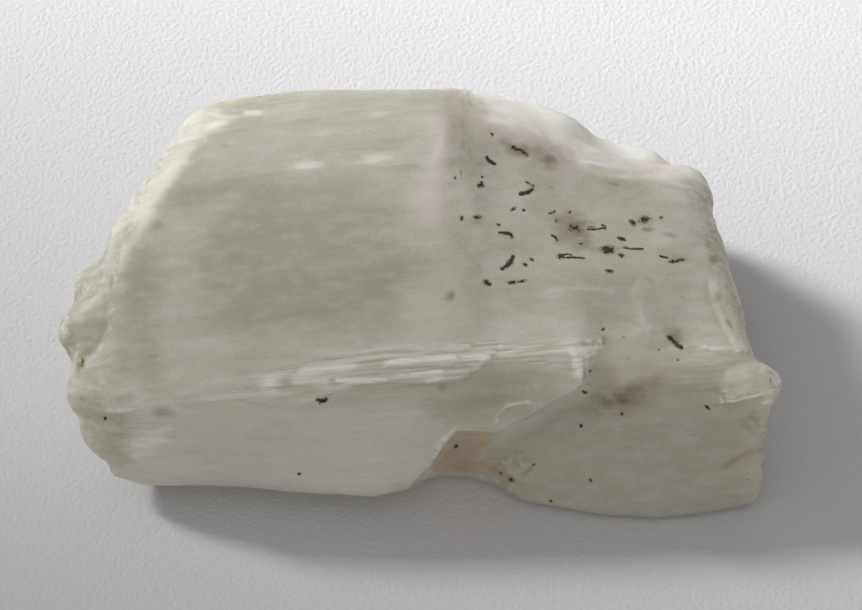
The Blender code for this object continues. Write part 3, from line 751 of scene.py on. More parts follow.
# Honey-brown of iron that has soaked into thin or broken places
AMBER_SHAPES = (
    Area(((1.1, -5.6), (2.75, -5.65), (2.5, -6.2), (2.0, -6.6), (2.0, -6.95), (2.9, -7.25),
          (2.2, -7.45), (0.05, -7.35), (0.3, -6.7)), 0.3, 1.0),
    Stroke(((0.2, -7.2), (1.2, -7.2), (2.2, -7.25), (3.0, -7.4)), 0.3, 0.9),
    Mark(2.9, -6.9, 1.6, 0.8, -8, 0.3), Stroke(((2.3, -7.2), (3.4, -7.7), (4.6, -8.2)), 0.7, 0.5),
    Area(((15.1, -6.1), (14.2, -6.35), (13.5, -6.85), (13.1, -7.2), (13.9, -6.95), (14.6, -6.75),
          (15.1, -6.7)), 0.35, 0.45), Mark(12.78, 0.31, 0.6, 0.6, 30, 0.7),
    Stroke(((12.75, 0.2), (13.0, -0.25), (13.2, -0.8), (13.4, -1.1)), 0.4, 0.45),
    Mark(13.25, -0.85, 0.3, 0.7, 30, 0.9), Mark(12.4, 2.2, 0.6, 1.2, 10, 0.4),
    Mark(8.4, 5.45, 1.6, 0.3, -12, 0.4), Mark(9.2, 3.45, 1.8, 0.8, 0, 0.35),
    Mark(10.6, 2.3, 2.0, 0.8, 0, 0.35), Mark(3.2, -4.1, 1.8, 1.2, 20, 0.25),
    Mark(-14.9, -3.6, 0.6, 1.6, 0, 0.3), Mark(9.2, -3.1, 4.0, 1.4, 5, 0.25),
)

# Silky and glassy places, whose colour also carries painted sheen streaks, brightest along the lip's rim
SILK_SHAPES = (
    Area(((-9.0, -3.9), (-7.6, -3.0), (-5.0, -2.5), (-1.6, -1.9), (1.4, -1.6), (4.4, -1.7), (7.5, -1.4),
          (7.6, -1.9), (6.9, -2.5), (6.7, -3.3), (5.1, -2.6), (2.6, -2.4), (1.7, -3.1), (0.3, -3.4),
          (-2.9, -3.5), (-5.0, -4.1)), 0.5, 1.0),
    Stroke(((12.85, -4.2), (14.3, -3.95), (14.9, -3.7)), 0.3, 0.9), Mark(15.1, -3.4, 0.9, 1.8, 0, 0.9),
    Stroke(((1.0, -5.65), (0.4, -6.35), (0.0, -7.0)), 0.4, 0.9),
    Stroke(((2.88, -5.2), (3.05, -4.8), (3.6, -4.38), (4.36, -4.34)), 0.25, 1.0),
    Area(((-14.4, -4.3), (-11.2, -4.1), (-10.6, -5.2), (-10.2, -7.0), (-13.4, -7.2)), 0.8, 0.3),
    Area(((8.6, -1.7), (14.0, -1.9), (13.8, -3.9), (8.8, -3.5)), 1.0, 0.25),
    Area(((-10.6, -4.6), (-5.0, -4.6), (0.6, -3.8), (0.6, -5.8), (-0.8, -7.6), (-2.6, -8.2),
          (-10.6, -7.9)), 1.0, 0.26),
    Area(((0.8, 5.0), (4.0, 6.2), (8.0, 5.2), (12.0, 4.4), (12.2, 0.2), (7.6, -1.4),
          (1.0, -1.4)), 1.2, 0.14),
    Area(((-9.4, 8.6), (-6.0, 9.1), (0.6, 9.2), (0.2, 6.0), (-9.2, 5.8)), 0.8, 0.22),
    Area(((2.0, 9.0), (6.6, 7.9), (11.4, 6.5), (12.2, 5.4), (6.4, 6.2), (1.8, 8.0)), 0.8, 0.12),
    Area(((4.4, -5.4), (14.4, -5.0), (14.4, -8.6), (5.4, -8.8)), 1.2, 0.10),
)

# Regions of the skin as the eye sees them: the big, smooth face of the slab
MAIN_FACE = Area(
    ((-9.6, 7.8), (-8.0, 8.6), (-4.5, 9.0), (0.4, 9.1), (0.4, 6.9), (0.0, 4.0), (0.6, 0.2), (0.0, -1.7),
     (-5.8, -2.4), (-10.7, -3.2), (-14.3, -3.1), (-14.2, 0.7), (-12.9, 3.6)), 0.9
)

# The face to its right, which carries most specks
SPECKLED_FACE = Area(
    ((1.1, 8.7), (3.1, 8.0), (5.7, 6.7), (7.5, 5.6), (9.7, 5.1), (12.0, 4.7), (12.5, 2.4), (12.4, 0.2),
     (9.3, -0.9), (7.5, -1.6), (2.6, -1.9), (0.2, -1.7), (0.6, 1.1), (0.0, 4.0)), 0.9
)

# The band of fine steps below both
SILKY_BAND = Area(
    ((-10.7, -3.8), (-8.5, -3.0), (-5.8, -2.5), (0.4, -1.95), (7.5, -1.65), (7.6, -2.0), (6.6, -2.3),
     (5.1, -2.5), (2.6, -2.5), (1.7, -3.15), (0.3, -3.5), (-2.7, -3.6), (-5.8, -4.3), (-10.3, -4.4)), 0.4
)

# The thin plate that ends in the lip
PLATE = Area(
    ((0.3, -3.6), (1.7, -3.2), (2.6, -2.6), (5.1, -2.6), (6.6, -2.4), (6.7, -3.5), (4.2, -5.0),
     (2.8, -5.6), (1.1, -5.6), (0.8, -4.0)), 0.4
)

# The front of the lower right block
BLOCK_FACE = Area(
    ((6.8, -3.8), (9.3, -4.0), (12.8, -4.3), (14.6, -4.6), (14.6, -8.6), (10.2, -9.3), (3.6, -8.7),
     (0.3, -7.4), (0.5, -6.4), (2.8, -5.7), (4.2, -5.1)), 0.7
)

# The front of the slab, below the band
LOWER_FACE = Area(
    ((-14.4, -4.7), (-10.5, -4.8), (-5.8, -4.8), (-2.7, -4.0), (0.3, -3.9), (0.8, -4.4), (0.8, -5.8),
     (0.0, -7.2), (-0.8, -8.2), (-5.8, -8.5), (-12.8, -8.0), (-14.2, -6.2)), 0.6
)


class NodeNet:
    """A material's node tree, with the few building blocks that the finishes share."""

    def __init__(self, name: str) -> None:
        """Starts a tree with one shader and its output.

        Args:
            name: Name of the material.
        """
        self.material = bpy.data.materials.new(name)
        self.material.use_nodes = True
        self.tree = self.material.node_tree
        self.tree.nodes.clear()
        self.shader = self.add("ShaderNodeBsdfPrincipled")
        self.out = self.add("ShaderNodeOutputMaterial")
        self.plug(self.shader.outputs["BSDF"], self.out, "Surface")
        self.place = self.add("ShaderNodeTexCoord").outputs["Object"]

    def add(self, kind: str) -> Node:
        """Adds a node of a kind."""
        return self.tree.nodes.new(kind)

    def plug(self, socket: Socket, target: Node, entry: str | int) -> None:
        """Links a socket to a node's input."""
        self.tree.links.new(socket, target.inputs[entry])

    def noise(self, size_mm: Triple, detail: float, place: Socket | None = None) -> Socket:
        """Adds a noise pattern in object space.

        Args:
            size_mm: Size of a blotch along each axis.
            detail: How many finer layers it has.
            place: Where the pattern is read, if not at the object's own place.

        Returns:
            The pattern, 0 to 1.
        """
        mapping = self.add("ShaderNodeMapping")
        mapping.inputs["Scale"].default_value = [1.0 / (size * MM) for size in size_mm]
        self.plug(place or self.place, mapping, "Vector")
        pattern = self.add("ShaderNodeTexNoise")
        pattern.inputs["Scale"].default_value = 1.0
        pattern.inputs["Detail"].default_value = detail
        self.plug(mapping.outputs["Vector"], pattern, "Vector")
        return pattern.outputs["Fac"]

    def streaks(self, width_mm: float, length_mm: float, detail: float) -> Socket:
        """Adds streaks along the crystal.

        Args:
            width_mm: Width of a streak.
            length_mm: Length of a streak.
            detail: How many finer layers it has.

        Returns:
            The pattern, 0 to 1.
        """
        turn = self.add("ShaderNodeMapping")
        turn.inputs["Rotation"].default_value = AXIS_TURN
        self.plug(self.place, turn, "Vector")
        return self.noise((length_mm, width_mm, width_mm), detail, turn.outputs["Vector"])

    def contrast(self, value: Socket, low: float, high: float) -> Socket:
        """Stretches a pattern.

        Args:
            value: The pattern.
            low: What becomes 0.
            high: What becomes 1.

        Returns:
            The stretched pattern, 0 to 1.
        """
        node = self.add("ShaderNodeMapRange")
        node.interpolation_type = "SMOOTHSTEP"
        node.inputs["From Min"].default_value = low
        node.inputs["From Max"].default_value = high
        self.plug(value, node, "Value")
        return node.outputs["Result"]

    def between(self, value: Socket, low: float, high: float) -> Socket:
        """Fits a pattern from 0 to 1 between two numbers.

        Args:
            value: The pattern.
            low: What 0 becomes.
            high: What 1 becomes.

        Returns:
            The fitted pattern.
        """
        node = self.add("ShaderNodeMapRange")
        node.inputs["To Min"].default_value = low
        node.inputs["To Max"].default_value = high
        self.plug(value, node, "Value")
        return node.outputs["Result"]

    def math(self, operation: str, first: Socket, second: Socket | float) -> Socket:
        """Combines a pattern with another, or with a number.

        Args:
            operation: The Math node's operation.
            first: The pattern.
            second: The other pattern, or the number.

        Returns:
            The combined pattern.
        """
        node = self.add("ShaderNodeMath")
        node.operation = operation
        self.plug(first, node, 0)
        if isinstance(second, float):
            node.inputs[1].default_value = second
        else:
            self.plug(second, node, 1)
        return node.outputs[0]

    def times(self, first: Socket, second: Socket | float) -> Socket:
        """Multiplies a pattern by another, or by a number."""
        return self.math("MULTIPLY", first, second)

    def sum(self, first: Socket, second: Socket) -> Socket:
        """Adds two patterns."""
        return self.math("ADD", first, second)

    def maximum(self, first: Socket, second: Socket) -> Socket:
        """Keeps the stronger of two patterns."""
        return self.math("MAXIMUM", first, second)

    def share(self, value: Socket, low: float, high: float, most: float) -> Socket:
        """Stretches a pattern so that low gives 0 and high gives the most that it may be."""
        return self.times(self.contrast(value, low, high), most)

    def tint(self, kind: Tint, factor: float = 1.0) -> Socket:
        """Reads what is laid on the surface.

        Args:
            kind: What is read.
            factor: What it is multiplied by.

        Returns:
            Its strength times the factor.
        """
        node = self.add("ShaderNodeAttribute")
        node.attribute_name = kind.value
        return self.times(node.outputs["Fac"], factor)

    def colour(self, value: Triple) -> Socket:
        """Adds a plain colour.

        Args:
            value: The colour.

        Returns:
            The colour's socket.
        """
        node = self.add("ShaderNodeRGB")
        node.outputs[0].default_value = (*value, 1.0)
        return node.outputs[0]

    def mix(self, share: Socket, base: Socket, over: Triple) -> Socket:
        """Lays a colour over another.

        Args:
            share: How much of the upper colour shows, 0 to 1.
            base: The lower colour.
            over: The upper colour.

        Returns:
            The mixed colour.
        """
        node = self.add("ShaderNodeMix")
        node.data_type = "RGBA"
        self.plug(share, node, 0)
        self.plug(base, node, 6)
        node.inputs[7].default_value = (*over, 1.0)
        return node.outputs[2]

    def bump(self, height: Socket, strength: float, depth_mm: float) -> None:
        """Gives the shader a fine texture.

        Args:
            height: The texture's pattern.
            strength: How strong it is, 0 to 1.
            depth_mm: Depth of the pattern from 0 to 1.
        """
        node = self.add("ShaderNodeBump")
        node.inputs["Strength"].default_value = strength
        node.inputs["Distance"].default_value = depth_mm * MM
        self.plug(height, node, "Height")
        self.plug(node.outputs["Normal"], self.shader, "Normal")


@dataclass(frozen=True)
class Textures:
    """The noise patterns that the crystal's colour and bump share.

    Args:
        broad: Broad streaks along the crystal.
        fine: Hair-fine streaks along the crystal.
        threads: Short, thin streaks along the crystal.
        cloud: Large, soft clouds.
        mottle: Blotches of half a millimetre.
        flakes: Scales of the broken ends.
        grit: The finest grain.
        granules: Grains that break up the specks.
    """

    broad: Socket
    fine: Socket
    threads: Socket
    cloud: Socket
    mottle: Socket
    flakes: Socket
    grit: Socket
    granules: Socket


@dataclass(frozen=True)
class CrystalFinish:
    """Pale, milky spodumene: half-clear, streaked along its length, with stains of iron and manganese."""

    body: Triple = (0.66, 0.633, 0.53)
    # Darker tone of clear crystal, also used for painted shade
    deep: Triple = (0.44, 0.42, 0.32)
    # Milky white, also used for painted highlights, glints and sheen
    milk: Triple = (0.87, 0.855, 0.79)
    # Pale colour of the painted glow through thin edges
    thin: Triple = (0.84, 0.83, 0.74)
    blush: Triple = (0.88, 0.735, 0.70)
    rust: Triple = (0.27, 0.20, 0.135)
    amber: Triple = (0.62, 0.49, 0.31)
    ochre: Triple = (0.34, 0.25, 0.11)
    oxide: Triple = (0.026, 0.018, 0.011)
    refraction: float = 1.66
    clearness: float = 0.30
    scatter_mm: float = 3.0
    scatter_reach: Triple = (1.0, 0.95, 0.8)
    absorbed: Triple = (0.78, 0.80, 0.66)
    absorption_per_m: float = 45.0
    gloss: tuple[float, float] = (0.55, 0.24)
    oxide_roughness: float = 0.8
    bump_strength: float = 0.5
    bump_mm: float = 0.03

    def material(self) -> bpy.types.Material:
        """Makes the crystal's material.

        Returns:
            The material.
        """
        net = NodeNet("kunzite")
        self.clear_body(net)
        look = self.textures(net)
        silk = net.tint(Tint.SILK)
        streaks = net.times(silk, net.contrast(look.fine, 0.44, 0.66))
        granules = net.between(net.contrast(look.granules, 0.32, 0.68), -0.17, 0.12)
        core = net.contrast(net.sum(net.tint(Tint.OXIDE), granules), 0.60, 0.72)

        colour = self.weathered(net, look, self.stone(net, look))
        # Painted sheen: pale streaks on silky places, with darker gaps between them
        colour = net.mix(net.times(streaks, 0.75), colour, self.milk)
        gaps = net.times(silk, net.contrast(look.fine, 0.46, 0.32))
        colour = net.mix(net.times(gaps, 0.45), colour, self.deep)
        net.plug(self.stained(net, look, colour, core), net.shader, "Base Color")

        stain = net.maximum(core, net.tint(Tint.MILK, 0.7))
        stain = net.maximum(stain, net.tint(Tint.RUST, 0.6))
        net.plug(net.between(stain, self.clearness, 0.0), net.shader, "Transmission Weight")
        dull = net.maximum(net.between(silk, *self.gloss), net.times(core, self.oxide_roughness))
        net.plug(dull, net.shader, "Roughness")
        net.bump(self.skin(net, look, streaks), self.bump_strength, self.bump_mm)
        return net.material

    def clear_body(self, net: NodeNet) -> None:
        """Makes the shader half-clear, milky inside and faintly green in its depth.

        Args:
            net: The material's net.
        """
        shader = net.shader
        shader.inputs["IOR"].default_value = self.refraction
        shader.inputs["Subsurface Weight"].default_value = 1.0
        shader.inputs["Subsurface Radius"].default_value = self.scatter_reach
        shader.inputs["Subsurface Scale"].default_value = self.scatter_mm * MM
        absorb = net.add("ShaderNodeVolumeAbsorption")
        absorb.inputs["Color"].default_value = (*self.absorbed, 1.0)
        absorb.inputs["Density"].default_value = self.absorption_per_m
        net.plug(absorb.outputs["Volume"], net.out, "Volume")

    def textures(self, net: NodeNet) -> Textures:
        """Adds the shared patterns.

        Args:
            net: The material's net.

        Returns:
            The patterns, each 0 to 1.
        """
        return Textures(
            broad=net.streaks(0.9, 6.0, 2.0),
            fine=net.streaks(0.14, 2.6, 2.0),
            threads=net.streaks(0.22, 1.6, 1.0),
            cloud=net.noise((2.6, 2.2, 2.2), 3.0),
            mottle=net.noise((0.9, 0.5, 0.5), 2.0),
            flakes=net.noise((0.42, 0.24, 0.24), 2.0),
            grit=net.noise((0.14, 0.10, 0.10), 1.0),
            granules=net.noise((0.13, 0.10, 0.10), 2.0),
        )

    def stone(self, net: NodeNet, look: Textures) -> Socket:
        """Colours the stone itself: streaked and cloudy, darker where clear or broken, paler where thin as a
        painted glow of light through the edges, and darker where painted shade is laid.

        Args:
            net: The material's net.
            look: The shared patterns.

        Returns:
            The colour.
        """
        colour = net.mix(net.share(look.broad, 0.40, 0.70, 0.20), net.colour(self.body), self.milk)
        colour = net.mix(net.share(look.cloud, 0.45, 0.75, 0.22), colour, self.deep)
        # Painted light: paler where the crystal is thin, as if light shone through its edges
        colour = net.mix(net.tint(Tint.THIN, 0.65), colour, self.thin)
        scales = net.times(net.tint(Tint.BROKEN, 0.55), net.contrast(look.flakes, 0.50, 0.62))
        colour = net.mix(scales, colour, self.deep)
        # Deeper, clearer places, and painted shade along steps and cracks and over the lobes and the knob
        colour = net.mix(net.tint(Tint.DEEP, 0.9), colour, self.deep)
        colour = net.mix(net.share(look.mottle, 0.40, 0.75, 0.28), colour, self.milk)
        colour = net.mix(net.share(look.threads, 0.48, 0.80, 0.10), colour, self.milk)
        colour = net.mix(net.share(look.threads, 0.50, 0.25, 0.10), colour, self.deep)
        return net.mix(net.share(look.grit, 0.42, 0.70, 0.24), colour, self.deep)

    def weathered(self, net: NodeNet, look: Textures, colour: Socket) -> Socket:
        """Lays the faint pink, the white bloom with its painted highlights and the frosty scales of broken
        places over the stone.

        Args:
            net: The material's net.
            look: The shared patterns.
            colour: The stone's colour.

        Returns:
            The colour with them.
        """
        colour = net.mix(net.tint(Tint.BLUSH, 0.9), colour, self.blush)
        # White bloom, with painted highlights on the lip's rim, the chip's arc, the knob and the silky band
        colour = net.mix(net.tint(Tint.MILK, 0.9), colour, self.milk)
        frost = net.maximum(net.tint(Tint.BLUSH, 0.25), net.tint(Tint.BROKEN, 0.5))
        return net.mix(net.times(frost, net.contrast(look.flakes, 0.47, 0.36)), colour, self.milk)

    def stained(self, net: NodeNet, look: Textures, colour: Socket, core: Socket) -> Socket:
        """Lays the iron and manganese stains over the stone.

        Args:
            net: The material's net.
            look: The shared patterns.
            colour: The stone's colour.
            core: Where a speck is black.

        Returns:
            The colour with the stains.
        """
        worn = net.between(net.contrast(look.mottle, 0.35, 0.65), 1.0, 0.72)
        colour = net.mix(net.times(net.tint(Tint.AMBER, 0.95), worn), colour, self.amber)
        patchy = net.between(net.contrast(look.mottle, 0.3, 0.7), 0.7, 1.1)
        colour = net.mix(net.times(net.tint(Tint.RUST), patchy), colour, self.rust)
        colour = net.mix(net.share(net.tint(Tint.OXIDE), 0.38, 0.66, 0.62), colour, self.ochre)
        return net.mix(core, colour, self.oxide)

    def skin(self, net: NodeNet, look: Textures, streaks: Socket) -> Socket:
        """Gives the fine texture of the skin, which is roughest on broken ends.

        Args:
            net: The material's net.
            look: The shared patterns.
            streaks: The silky streaks.

        Returns:
            The texture's height.
        """
        height = net.sum(look.mottle, net.times(look.threads, 0.4))
        height = net.sum(height, net.times(look.grit, 0.3))
        scales = net.times(look.flakes, net.between(net.tint(Tint.BROKEN), 0.5, 3.5))
        return net.sum(net.sum(height, scales), net.times(streaks, 0.8))


@dataclass(frozen=True)
class FloorFinish:
    """Plain pale paper."""

    colour: Triple = (0.64, 0.625, 0.625)
    fibre: Triple = (0.52, 0.50, 0.49)
    fibre_share: float = 0.04
    fibre_mm: float = 0.5
    tooth_mm: float = 0.22
    roughness: float = 0.9
    bump_strength: float = 0.55
    bump_mm: float = 0.1

    def material(self) -> bpy.types.Material:
        """Makes the floor's material.

        Returns:
            The material.
        """
        net = NodeNet("paper")
        net.shader.inputs["Roughness"].default_value = self.roughness
        fibres = net.share(net.noise((self.fibre_mm,) * 3, 2.0), 0.35, 0.65, self.fibre_share)
        net.plug(net.mix(fibres, net.colour(self.colour), self.fibre), net.shader, "Base Color")
        net.bump(net.noise((self.tooth_mm,) * 3, 2.0), self.bump_strength, self.bump_mm)
        return net.material


def select_only(piece: Piece) -> None:
    """Selects one piece alone, and makes it the active one.

    Args:
        piece: The piece.
    """
    bpy.ops.object.select_all(action="DESELECT")
    piece.select_set(True)
    bpy.context.view_layer.objects.active = piece


def towards(way: Vector) -> Euler:
    """Gives the turn that points a lamp or camera along a direction."""
    return way.to_track_quat("-Z", "Y").to_euler()


@dataclass
class Crystal:
    """The fragment, worked over the solid's shape."""

    node: str = "crystal"
    cell_mm: float = 0.13
    evening: int = 4
    face_limit: int = 142000
    lip_rim_mm: float = 0.7
    lip_cuts: int = 2
    speck_cuts: int = 3
    split_rim_mm: float = 0.14
    undercut_mm: float = 0.45
    notch_mm: float = 0.35
    flat_below_mm: float = 0.08
    # Thickness range and spreading passes of the painted glow of thin edges
    thin_mm: tuple[float, float] = (0.2, 1.8)
    thin_passes: int = 40
    probe_mm: float = 20.0
    probe_start_mm: float = 0.05
    sharp_deg: float = 50.0
    plane: DrawingPlane = field(default_factory=DrawingPlane)
    finish: CrystalFinish = field(default_factory=CrystalFinish)

    def build(self) -> Piece:
        """Makes the piece.

        Returns:
            The finished piece.
        """
        piece = self.copy_solid()
        self.refine(piece)
        self.split_near(piece, (Stroke(LIP, self.lip_rim_mm),), self.lip_cuts)
        self.work_relief(piece)
        self.thin(piece)
        self.split_near(piece, OXIDE_MARKS, self.speck_cuts)
        self.lay_tints(piece)
        self.dress(piece)
        return piece

    def copy_solid(self) -> Piece:
        """Copies the solid and merges its corners.

        Returns:
            The copy, ready to be worked.
        """
        select_only(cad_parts[self.node])
        bpy.ops.object.duplicate()
        piece = bpy.context.view_layer.objects.active
        piece.parent = None
        piece.name = "kunzite"
        bpy.ops.object.mode_set(mode="EDIT")
        bpy.ops.mesh.select_all(action="SELECT")
        bpy.ops.mesh.remove_doubles(threshold=0.001 * MM)
        bpy.ops.object.mode_set(mode="OBJECT")
        bpy.ops.object.transform_apply(location=True, rotation=True, scale=True)
        return piece

    def apply(self, piece: Piece, kind: str, **settings: object) -> None:
        """Adds a modifier and applies it.

        Args:
            piece: The piece.
            kind: The modifier's type.
            settings: Its settings.
        """
        modifier = piece.modifiers.new(kind, kind)
        for name, value in settings.items():
            setattr(modifier, name, value)
        bpy.ops.object.modifier_apply(modifier=modifier.name)

    def refine(self, piece: Piece) -> None:
        """Rounds the solid's facets and gives the piece an even, fine skin.

        Args:
            piece: The piece.
        """
        self.apply(piece, "SUBSURF", levels=2, render_levels=2)
        self.apply(piece, "REMESH", mode="VOXEL", voxel_size=self.cell_mm * MM)
        self.apply(piece, "SMOOTH", iterations=self.evening)

    def arrays(self, piece: Piece) -> tuple[np.ndarray, np.ndarray]:
        """Reads the piece's vertices.

        Args:
            piece: The piece.

        Returns:
            Their places in millimetres, and their normals.
        """
        mesh = piece.data
        points = np.empty(len(mesh.vertices) * 3)
        mesh.vertices.foreach_get("co", points)
        normals = np.empty(len(mesh.vertices) * 3)
        mesh.vertex_normals.foreach_get("vector", normals)
        return points.reshape(-1, 3) / MM, normals.reshape(-1, 3)

    def work_relief(self, piece: Piece) -> None:
        """Cuts striations, cleavage ledges, splinters and pits into the skin.

        Args:
            piece: The piece.
        """
        points, normals = self.arrays(piece)
        moved = points + normals * self.relief(points, normals)[:, None]
        moved += self.plane.axes()[2] * self.undercut(points, normals)[:, None]
        underside = points[:, 2] < self.flat_below_mm
        moved[underside] = points[underside]
        moved[:, 2] = np.maximum(moved[:, 2], 0.0)
        piece.data.vertices.foreach_set("co", (moved * MM).ravel())
        piece.data.update()

    def relief(self, points: np.ndarray, normals: np.ndarray) -> np.ndarray:
        """Tells how far the skin stands out.

        Args:
            points: Places in millimetres.
            normals: Their unit normals.

        Returns:
            Heights in millimetres.
        """
        places = self.plane.place(points)
        seen = ramp(self.plane.facing(points, normals), 0.0, 0.2)
        skins = self.skins(places, seen)
        endwise = ramp(np.abs(normals @ LONG_AXIS), 0.45, 0.8) * skins[-1]
        height = STRIAE.field(points) * STRIAE.spread(skins)
        height += RIBS.field(points) * RIBS.spread(skins)
        height += terraced(TERRACES.field(points), 4.0, 0.22) * TERRACES.spread(skins)
        height += SWELL.field(points) * SWELL.spread(skins)
        height = height * (1.0 - endwise) + self.broken_end(points) * endwise
        height -= ramp(PITS.field(points), 0.42, 0.7) * PITS.spread(skins)
        for ledge in LEDGES:
            apart = left_of(places, ledge.points)
            step = ramp(apart, -0.05, 0.05) * (1.0 - ramp(apart, 0.05, ledge.fade))
            height += ledge.height * seen * step
        for shape, depth in CUTS:
            height -= depth * np.sqrt(np.clip(coverage(places, shape), 0.0, 1.0)) * seen
        return height

    def skins(self, places: np.ndarray, seen: np.ndarray) -> tuple[np.ndarray, ...]:
        """Tells which kind of skin each place has.

        Args:
            places: Across and up of each place, in millimetres.
            seen: How well the eye sees it, 0 to 1.

        Returns:
            Its shares of smooth, speckled, silky, plain and other skin.
        """
        smooth, speckled, silky = (
            seen * ramp(coverage(places, face), 0.0, 1.0) for face in (MAIN_FACE, SPECKLED_FACE, SILKY_BAND)
        )
        plain = np.maximum(coverage(places, PLATE), coverage(places, BLOCK_FACE))
        plain = seen * ramp(np.maximum(plain, coverage(places, LOWER_FACE)), 0.0, 1.0)
        rest = np.clip(1.0 - smooth - speckled - silky - plain, 0.0, 1.0)
        return smooth, speckled, silky, plain, rest

    def broken_end(self, points: np.ndarray) -> np.ndarray:
        """Gives the splinters and shells of an end that broke across.

        Args:
            points: Places in millimetres.

        Returns:
            Heights in millimetres.
        """
        splinters = Grain(Pattern.SPLINTERS).at(points / 0.70) * 0.06
        splinters = splinters + Grain(Pattern.CRUMBS).at(points / 0.25) * 0.045
        shells = terraced(Grain(Pattern.SHELLS).at(points / 1.6), 3.0, 0.3) * 0.09
        return splinters + shells

    def undercut(self, points: np.ndarray, normals: np.ndarray) -> np.ndarray:
        """Tells how far the block's skin draws back under the slab's lip.

        Args:
            points: Places in millimetres.
            normals: Their unit normals.

        Returns:
            Depths in millimetres, along the way that the eye looks.
        """
        places = self.plane.place(points)
        side = inside(places, LIP + UNDER_LIP)
        apart = distance_to(places, LIP)
        step = ramp(apart, 0.0, 0.07) * (1.0 - ramp(apart, 0.35, 2.2))
        depth = self.undercut_mm + self.notch_mm * ramp(coverage(places, NOTCH), 0.0, 1.0)
        lowness = ramp(-places[:, 1], 2.4, 4.0)
        return side * step * depth * lowness * ramp(self.plane.facing(points, normals), 0.0, 0.2)

    def thin(self, piece: Piece) -> None:
        """Takes out faces where the skin is flat.

        Args:
            piece: The piece.
        """
        self.apply(piece, "DECIMATE", ratio=min(1.0, self.face_limit / len(piece.data.polygons)))

    def split_near(self, piece: Piece, shapes: tuple[Mark | Stroke, ...], cuts: int) -> None:
        """Splits the faces under some shapes, so that the shapes get sharp edges.

        Args:
            piece: The piece.
            shapes: The marks and strokes.
            cuts: How many times each edge is cut.
        """
        mesh = piece.data
        centres = np.empty(len(mesh.polygons) * 3)
        mesh.polygons.foreach_get("center", centres)
        centres = centres.reshape(-1, 3) / MM
        normals = np.empty(len(mesh.polygons) * 3)
        mesh.polygons.foreach_get("normal", normals)
        seen = self.plane.facing(centres, normals.reshape(-1, 3)) > 0.05
        places = self.plane.place(centres)
        near = np.zeros(len(centres), dtype=bool)
        for shape in shapes:
            near |= coverage(places, widened(shape, self.split_rim_mm)) > 0.0
        bpy.ops.object.mode_set(mode="EDIT")
        bpy.ops.mesh.select_all(action="DESELECT")
        bpy.ops.mesh.select_mode(type="FACE")
        bpy.ops.object.mode_set(mode="OBJECT")
        mesh.polygons.foreach_set("select", near & seen)
        bpy.ops.object.mode_set(mode="EDIT")
        bpy.ops.mesh.subdivide(number_cuts=cuts, ngon=False, smoothness=0.0)
        bpy.ops.mesh.select_all(action="SELECT")
        bpy.ops.mesh.quads_convert_to_tris()
        bpy.ops.object.mode_set(mode="OBJECT")

    def lay_tints(self, piece: Piece) -> None:
        """Writes the stains, the bloom with its painted highlights, the see-through places with their
        painted shade, and the painted glow of thin edges to the skin's attributes.

        Args:
            piece: The piece.
        """
        points, normals = self.arrays(piece)
        places = self.plane.place(points)
        facing = ramp(self.plane.facing(points, normals), 0.0, 0.15)
        cloudy = 0.25 * Grain(Pattern.CLOUD).drawn_out(points, 0.5, 1.4)
        cloudy = cloudy + 0.15 * Grain(Pattern.WISP).drawn_out(points, 0.2, 0.8)
        hazy = cloudy + 0.35 * Grain(Pattern.HAZE).at(points / 0.5)
        hazy = hazy + 0.20 * Grain(Pattern.DUST).at(points / 0.22)
        streaky = cloudy + 0.35 * Grain(Pattern.STREAK).drawn_out(points, 0.16, 1.6)
        drifting = 0.45 * Grain(Pattern.DRIFT).drawn_out(points, 1.3, 4.0)
        drifting = drifting + 0.30 * Grain(Pattern.EDDY).drawn_out(points, 0.5, 2.2)
        ragged = 0.8 * Grain(Pattern.RAGGED).at(points / 0.18)
        # Each layer's shapes, the wobble of their edges, and how deep inside them it begins and is full
        layers = (
            (Tint.OXIDE, OXIDE_MARKS, ragged, -2.0, 1.0),
            (Tint.RUST, RUST_MARKS, hazy, -0.25, 0.65),
            (Tint.BLUSH, BLUSH_SHAPES, cloudy, 0.0, 0.9),
            (Tint.MILK, MILK_AND_HIGHLIGHT_SHAPES, streaky, 0.0, 0.6),
            (Tint.DEEP, DEEP_AND_SHADE_SHAPES, drifting, -0.3, 1.1),
            (Tint.SILK, SILK_SHAPES, cloudy, 0.0, 0.7),
            (Tint.AMBER, AMBER_SHAPES, hazy, 0.0, 0.6),
        )
        for tint, shapes, wobble, low, high in layers:
            value = np.zeros(len(points))
            for shape in shapes:
                depth = coverage(places, shape) + wobble * min(1.0, breadth(shape) / WOBBLE_MM)
                value = np.maximum(value, shape.strength * np.clip((depth - low) / (high - low), 0.0, 1.0))
            self.write(piece, tint, value * facing)
        self.write(piece, Tint.BROKEN, ramp(np.abs(normals @ LONG_AXIS), 0.30, 0.65))
        # Painted light: paler where the crystal is thin, standing in for light that shines through its edges
        thin = 1.0 - ramp(self.thickness(piece, points, normals), *self.thin_mm)
        self.write(piece, Tint.THIN, self.evened(piece, thin, self.thin_passes))

    def write(self, piece: Piece, tint: Tint, value: np.ndarray) -> None:
        """Writes one attribute.

        Args:
            piece: The piece.
            tint: What is written.
            value: Its strength at each vertex, 0 to 1.
        """
        attribute = piece.data.attributes.new(tint.value, "FLOAT", "POINT")
        attribute.data.foreach_set("value", value.astype(np.float32))

    def thickness(self, piece: Piece, points: np.ndarray, normals: np.ndarray) -> np.ndarray:
        """Measures how thick the crystal is below each vertex.

        Args:
            piece: The piece.
            points: Its vertices, in millimetres.
            normals: Their unit normals.

        Returns:
            Thicknesses in millimetres.
        """
        faces = [tuple(face.vertices) for face in piece.data.polygons]
        tree = BVHTree.FromPolygons([Vector(point) for point in points], faces)
        found = np.full(len(points), self.probe_mm)
        for index, (point, normal) in enumerate(zip(points, normals)):
            start = Vector(point - self.probe_start_mm * normal)
            distance = tree.ray_cast(start, Vector(-normal), self.probe_mm)[3]
            if distance is not None:
                found[index] = distance
        return found

